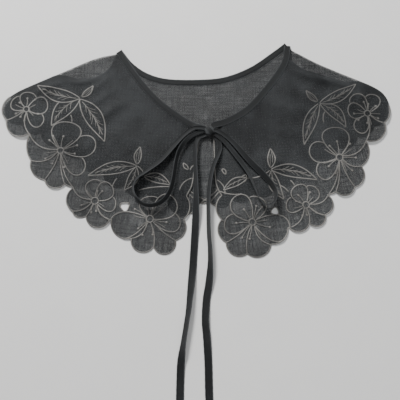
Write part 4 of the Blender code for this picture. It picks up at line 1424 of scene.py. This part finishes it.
class COLLAR_OT_stage(bpy.types.Operator):
    """Lays the pale floor, and sets the soft lights and the camera"""
    bl_idname = "collar.stage"
    bl_label = "Stage"

    def execute(self, context):
        look = context.scene.collar.stage
        half = FLOOR_SIZE / 2
        mesh = bpy.data.meshes.new("floor")
        corners = [(-half, -half, 0.0), (half, -half, 0.0), (half, half, 0.0), (-half, half, 0.0)]
        mesh.from_pydata(corners, [], [(0, 1, 2, 3)])
        mesh.materials.append(floor_material(look))
        floor = bpy.data.objects.new("floor", mesh)
        context.scene.collection.objects.link(floor)
        self.soft_light("key light", (-0.75, 1.5, 1.2), 0.6, look.key)
        self.soft_light("fill light", (1.3, -0.9, 1.5), 1.6, look.fill)
        world = bpy.data.worlds.new("studio")
        world.use_nodes = True
        background = world.node_tree.nodes["Background"]
        background.inputs["Color"].default_value = (0.93, 0.96, 1.0, 1.0)
        background.inputs["Strength"].default_value = look.sky
        context.scene.world = world
        lens = bpy.data.cameras.new("camera")
        lens.lens = look.lens
        lens.clip_start = 0.01
        camera = bpy.data.objects.new("camera", lens)
        across, along, _ = placed((CAMERA_X, CAMERA_Y, 0.0))
        camera.location = (across, along, look.height)
        camera.rotation_euler = (look.tilt, 0.0, 0.0)
        context.scene.collection.objects.link(camera)
        context.scene.camera = camera
        return {"FINISHED"}

    def soft_light(self, name, place, size, power):
        """A round soft light that faces the collar."""
        light = bpy.data.lights.new(name, "AREA")
        light.shape = "DISK"
        light.size = size
        light.energy = power
        lamp = bpy.data.objects.new(name, light)
        lamp.location = place
        lamp.rotation_euler = (-Vector(place)).to_track_quat("-Z", "Y").to_euler()
        bpy.context.scene.collection.objects.link(lamp)


class COLLAR_OT_bow(bpy.types.Operator):
    """Ties the bow: its knot, two loops and two free ends"""
    bl_idname = "collar.bow"
    bl_label = "Bow and free ends"

    def execute(self, context):
        material = tape_of(context)
        knot = add_mesh("knot", joined([knot_core(), knot_band()]), material, 50)
        keep(knot, "tape", "bow_knot")
        for side, route in (("left", LEFT_LOOP), ("right", RIGHT_LOOP)):
            rows = (into_knot(route[0]), *route, into_knot(route[-1]))
            self.tie(context, "loop_" + side, rows, "bow_loop_" + side, "object", [knot])
        for side, route in (("left", LEFT_END), ("right", RIGHT_END)):
            rows = (into_knot(route[0]), *route)
            self.tie(context, "end_" + side, rows, "tie_end_" + side, "bare", [])
        return {"FINISHED"}

    def tie(self, context, name, rows, node, far_end, on_it):
        """Lays one free stretch of tape along its route's rows."""
        look = context.scene.collar.tape
        middle, side, up = tie_frame(rows)
        gather = 1.0 - ease((np.linalg.norm(middle[:, :2] - KNOT_CENTRE, axis=1) - 10.0) / GATHER_RUN)
        band = tape_part(middle, side, up, TIE_WIDTH, TIE_THICK, look.pucker, gather)
        piece = keep(add_mesh(name, band, tape_of(context), 60), "tape", node)


class COLLAR_OT_neck(bpy.types.Operator):
    """Binds the neckline with folded tape, which turns over at each shoulder"""
    bl_idname = "collar.neck"
    bl_label = "Neck tape"

    def execute(self, context):
        look = context.scene.collar.tape
        for name, neck, level, folds_over, node in (
                ("neck_back", BACK_NECK, 0.1, True, "binding_back"),
                ("neck_left", LEFT_FRONT_NECK, FRONT_LEVEL, False, "binding_front_left"),
                ("neck_right", RIGHT_FRONT_NECK, FRONT_LEVEL, False, "binding_front_right")):
            frame_lines = neck_frame(neck, level, folds_over)
            flat = np.zeros(len(frame_lines[0]))
            band = tape_part(*frame_lines, TAPE_WIDTH, TAPE_THICK, look.pucker, flat)
            keep(add_mesh(name, band, tape_of(context), 60), "tape", node)
        return {"FINISHED"}


Panel = namedtuple(
    "Panel", "name node cut hole creases lobes blooms petals leaves buds twigs grain neck turned")
PANELS = (
    Panel("back", "back_panel", back_cut, None, BACK_CREASES, BACK_LOBES, BACK_BLOOMS, BACK_PETALS,
          BACK_LEAVES, (), (), 0.0, "neck_back", 0.0),
    Panel("left", "front_left", left_cut, LEFT_EYELET, LEFT_CREASES, LEFT_LOBES, LEFT_BLOOMS,
          LEFT_PETALS, LEFT_LEAVES, LEFT_BUDS, LEFT_TWIGS, 7.0, "neck_left", 8.0),
    Panel("right", "front_right", right_cut, RIGHT_EYELET, RIGHT_CREASES, RIGHT_LOBES, RIGHT_BLOOMS,
          RIGHT_PETALS, RIGHT_LEAVES, RIGHT_BUDS, RIGHT_TWIGS, -8.0, "neck_right", 13.0),
)


def panel_heights(panel, look):
    """The height function of a panel's middle."""
    if panel.name == "back":
        return back_heights
    cut = panel.cut(HEM_STEP)
    return lambda points: front_heights(points, cut, panel.creases, look.hem_lift / MM)


def panel_holes(panel, inset):
    """The panel's eyelet, if it has one, an inset outside its cut edge."""
    return [] if panel.hole is None else [eyelet_outline(panel.hole, inset)]


class COLLAR_OT_embroidery(bpy.types.Operator):
    """Stitches the flowers, leaves and edging of each panel"""
    bl_idname = "collar.embroidery"
    bl_label = "Embroidery"

    def execute(self, context):
        look = context.scene.collar.thread
        cloth = context.scene.collar.cloth
        material = satin_thread("silky thread", look)
        for panel in PANELS:
            strokes = design(panel.cut(HEM_STEP), panel_holes(panel, 0.6), panel.lobes, panel.blooms,
                             panel.petals, panel.leaves, panel.buds, panel.twigs, look)
            part = stitched(strokes, panel_heights(panel, cloth), look.rise / MM)
            keep(add_mesh("stitches_" + panel.name, part, material, 70), "thread")
        return {"FINISHED"}


class COLLAR_OT_cloth(bpy.types.Operator):
    """Lays the three sheer panels with their folds and soft creases"""
    bl_idname = "collar.cloth"
    bl_label = "Sheer panels"

    def execute(self, context):
        look = context.scene.collar.cloth
        for panel in PANELS:
            outline = panel.cut(HEM_STEP).outline
            flat, faces = cloth_pattern(outline, panel_holes(panel, 0.0))
            heights_of = panel_heights(panel, look)
            shell = cloth_shell(flat, faces, heights_of(flat), look.wall / MM)
            if panel.turned:
                strip = turned_in(panel.cut(HEM_STEP), heights_of, look.wall / MM, panel.turned)
                shell = joined([shell, strip])
            name = "organza_" + panel.name
            piece = add_mesh(name, shell, organza(name, look, panel.grain), 60)
            keep(piece, "sheer", panel.node)
        return {"FINISHED"}


class COLLAR_PT_panel(bpy.types.Panel):
    """Lists the collar's pieces"""
    bl_idname = "COLLAR_PT_panel"
    bl_label = "Lace Collar"
    bl_space_type = "VIEW_3D"
    bl_region_type = "UI"
    bl_category = "Lace Collar"

    def draw(self, context):
        for step in STEPS:
            self.layout.operator(step.bl_idname)
        collar = context.scene.collar
        for look in (collar.cloth, collar.thread, collar.tape, collar.stage):
            box = self.layout.box()
            for name in look.__annotations__:
                box.prop(look, name)


STEPS = (COLLAR_OT_stage, COLLAR_OT_bow, COLLAR_OT_neck, COLLAR_OT_embroidery, COLLAR_OT_cloth)
CLASSES = (ClothLook, ThreadLook, TapeLook, StageLook, CollarLook, *STEPS, COLLAR_PT_panel)


def register():
    """Registers the classes and the scene's collar settings."""
    for kind in CLASSES:
        bpy.utils.register_class(kind)
    bpy.types.Scene.collar = PointerProperty(type=CollarLook)


def unregister():
    """Undoes register()."""
    del bpy.types.Scene.collar
    for kind in reversed(CLASSES):
        bpy.utils.unregister_class(kind)


def main():
    """Builds every piece in order."""
    register()
    bpy.ops.collar.stage()
    bpy.ops.collar.bow()
    bpy.ops.collar.neck()
    bpy.ops.collar.embroidery()
    bpy.ops.collar.cloth()


if __name__ == "__main__":
    main()
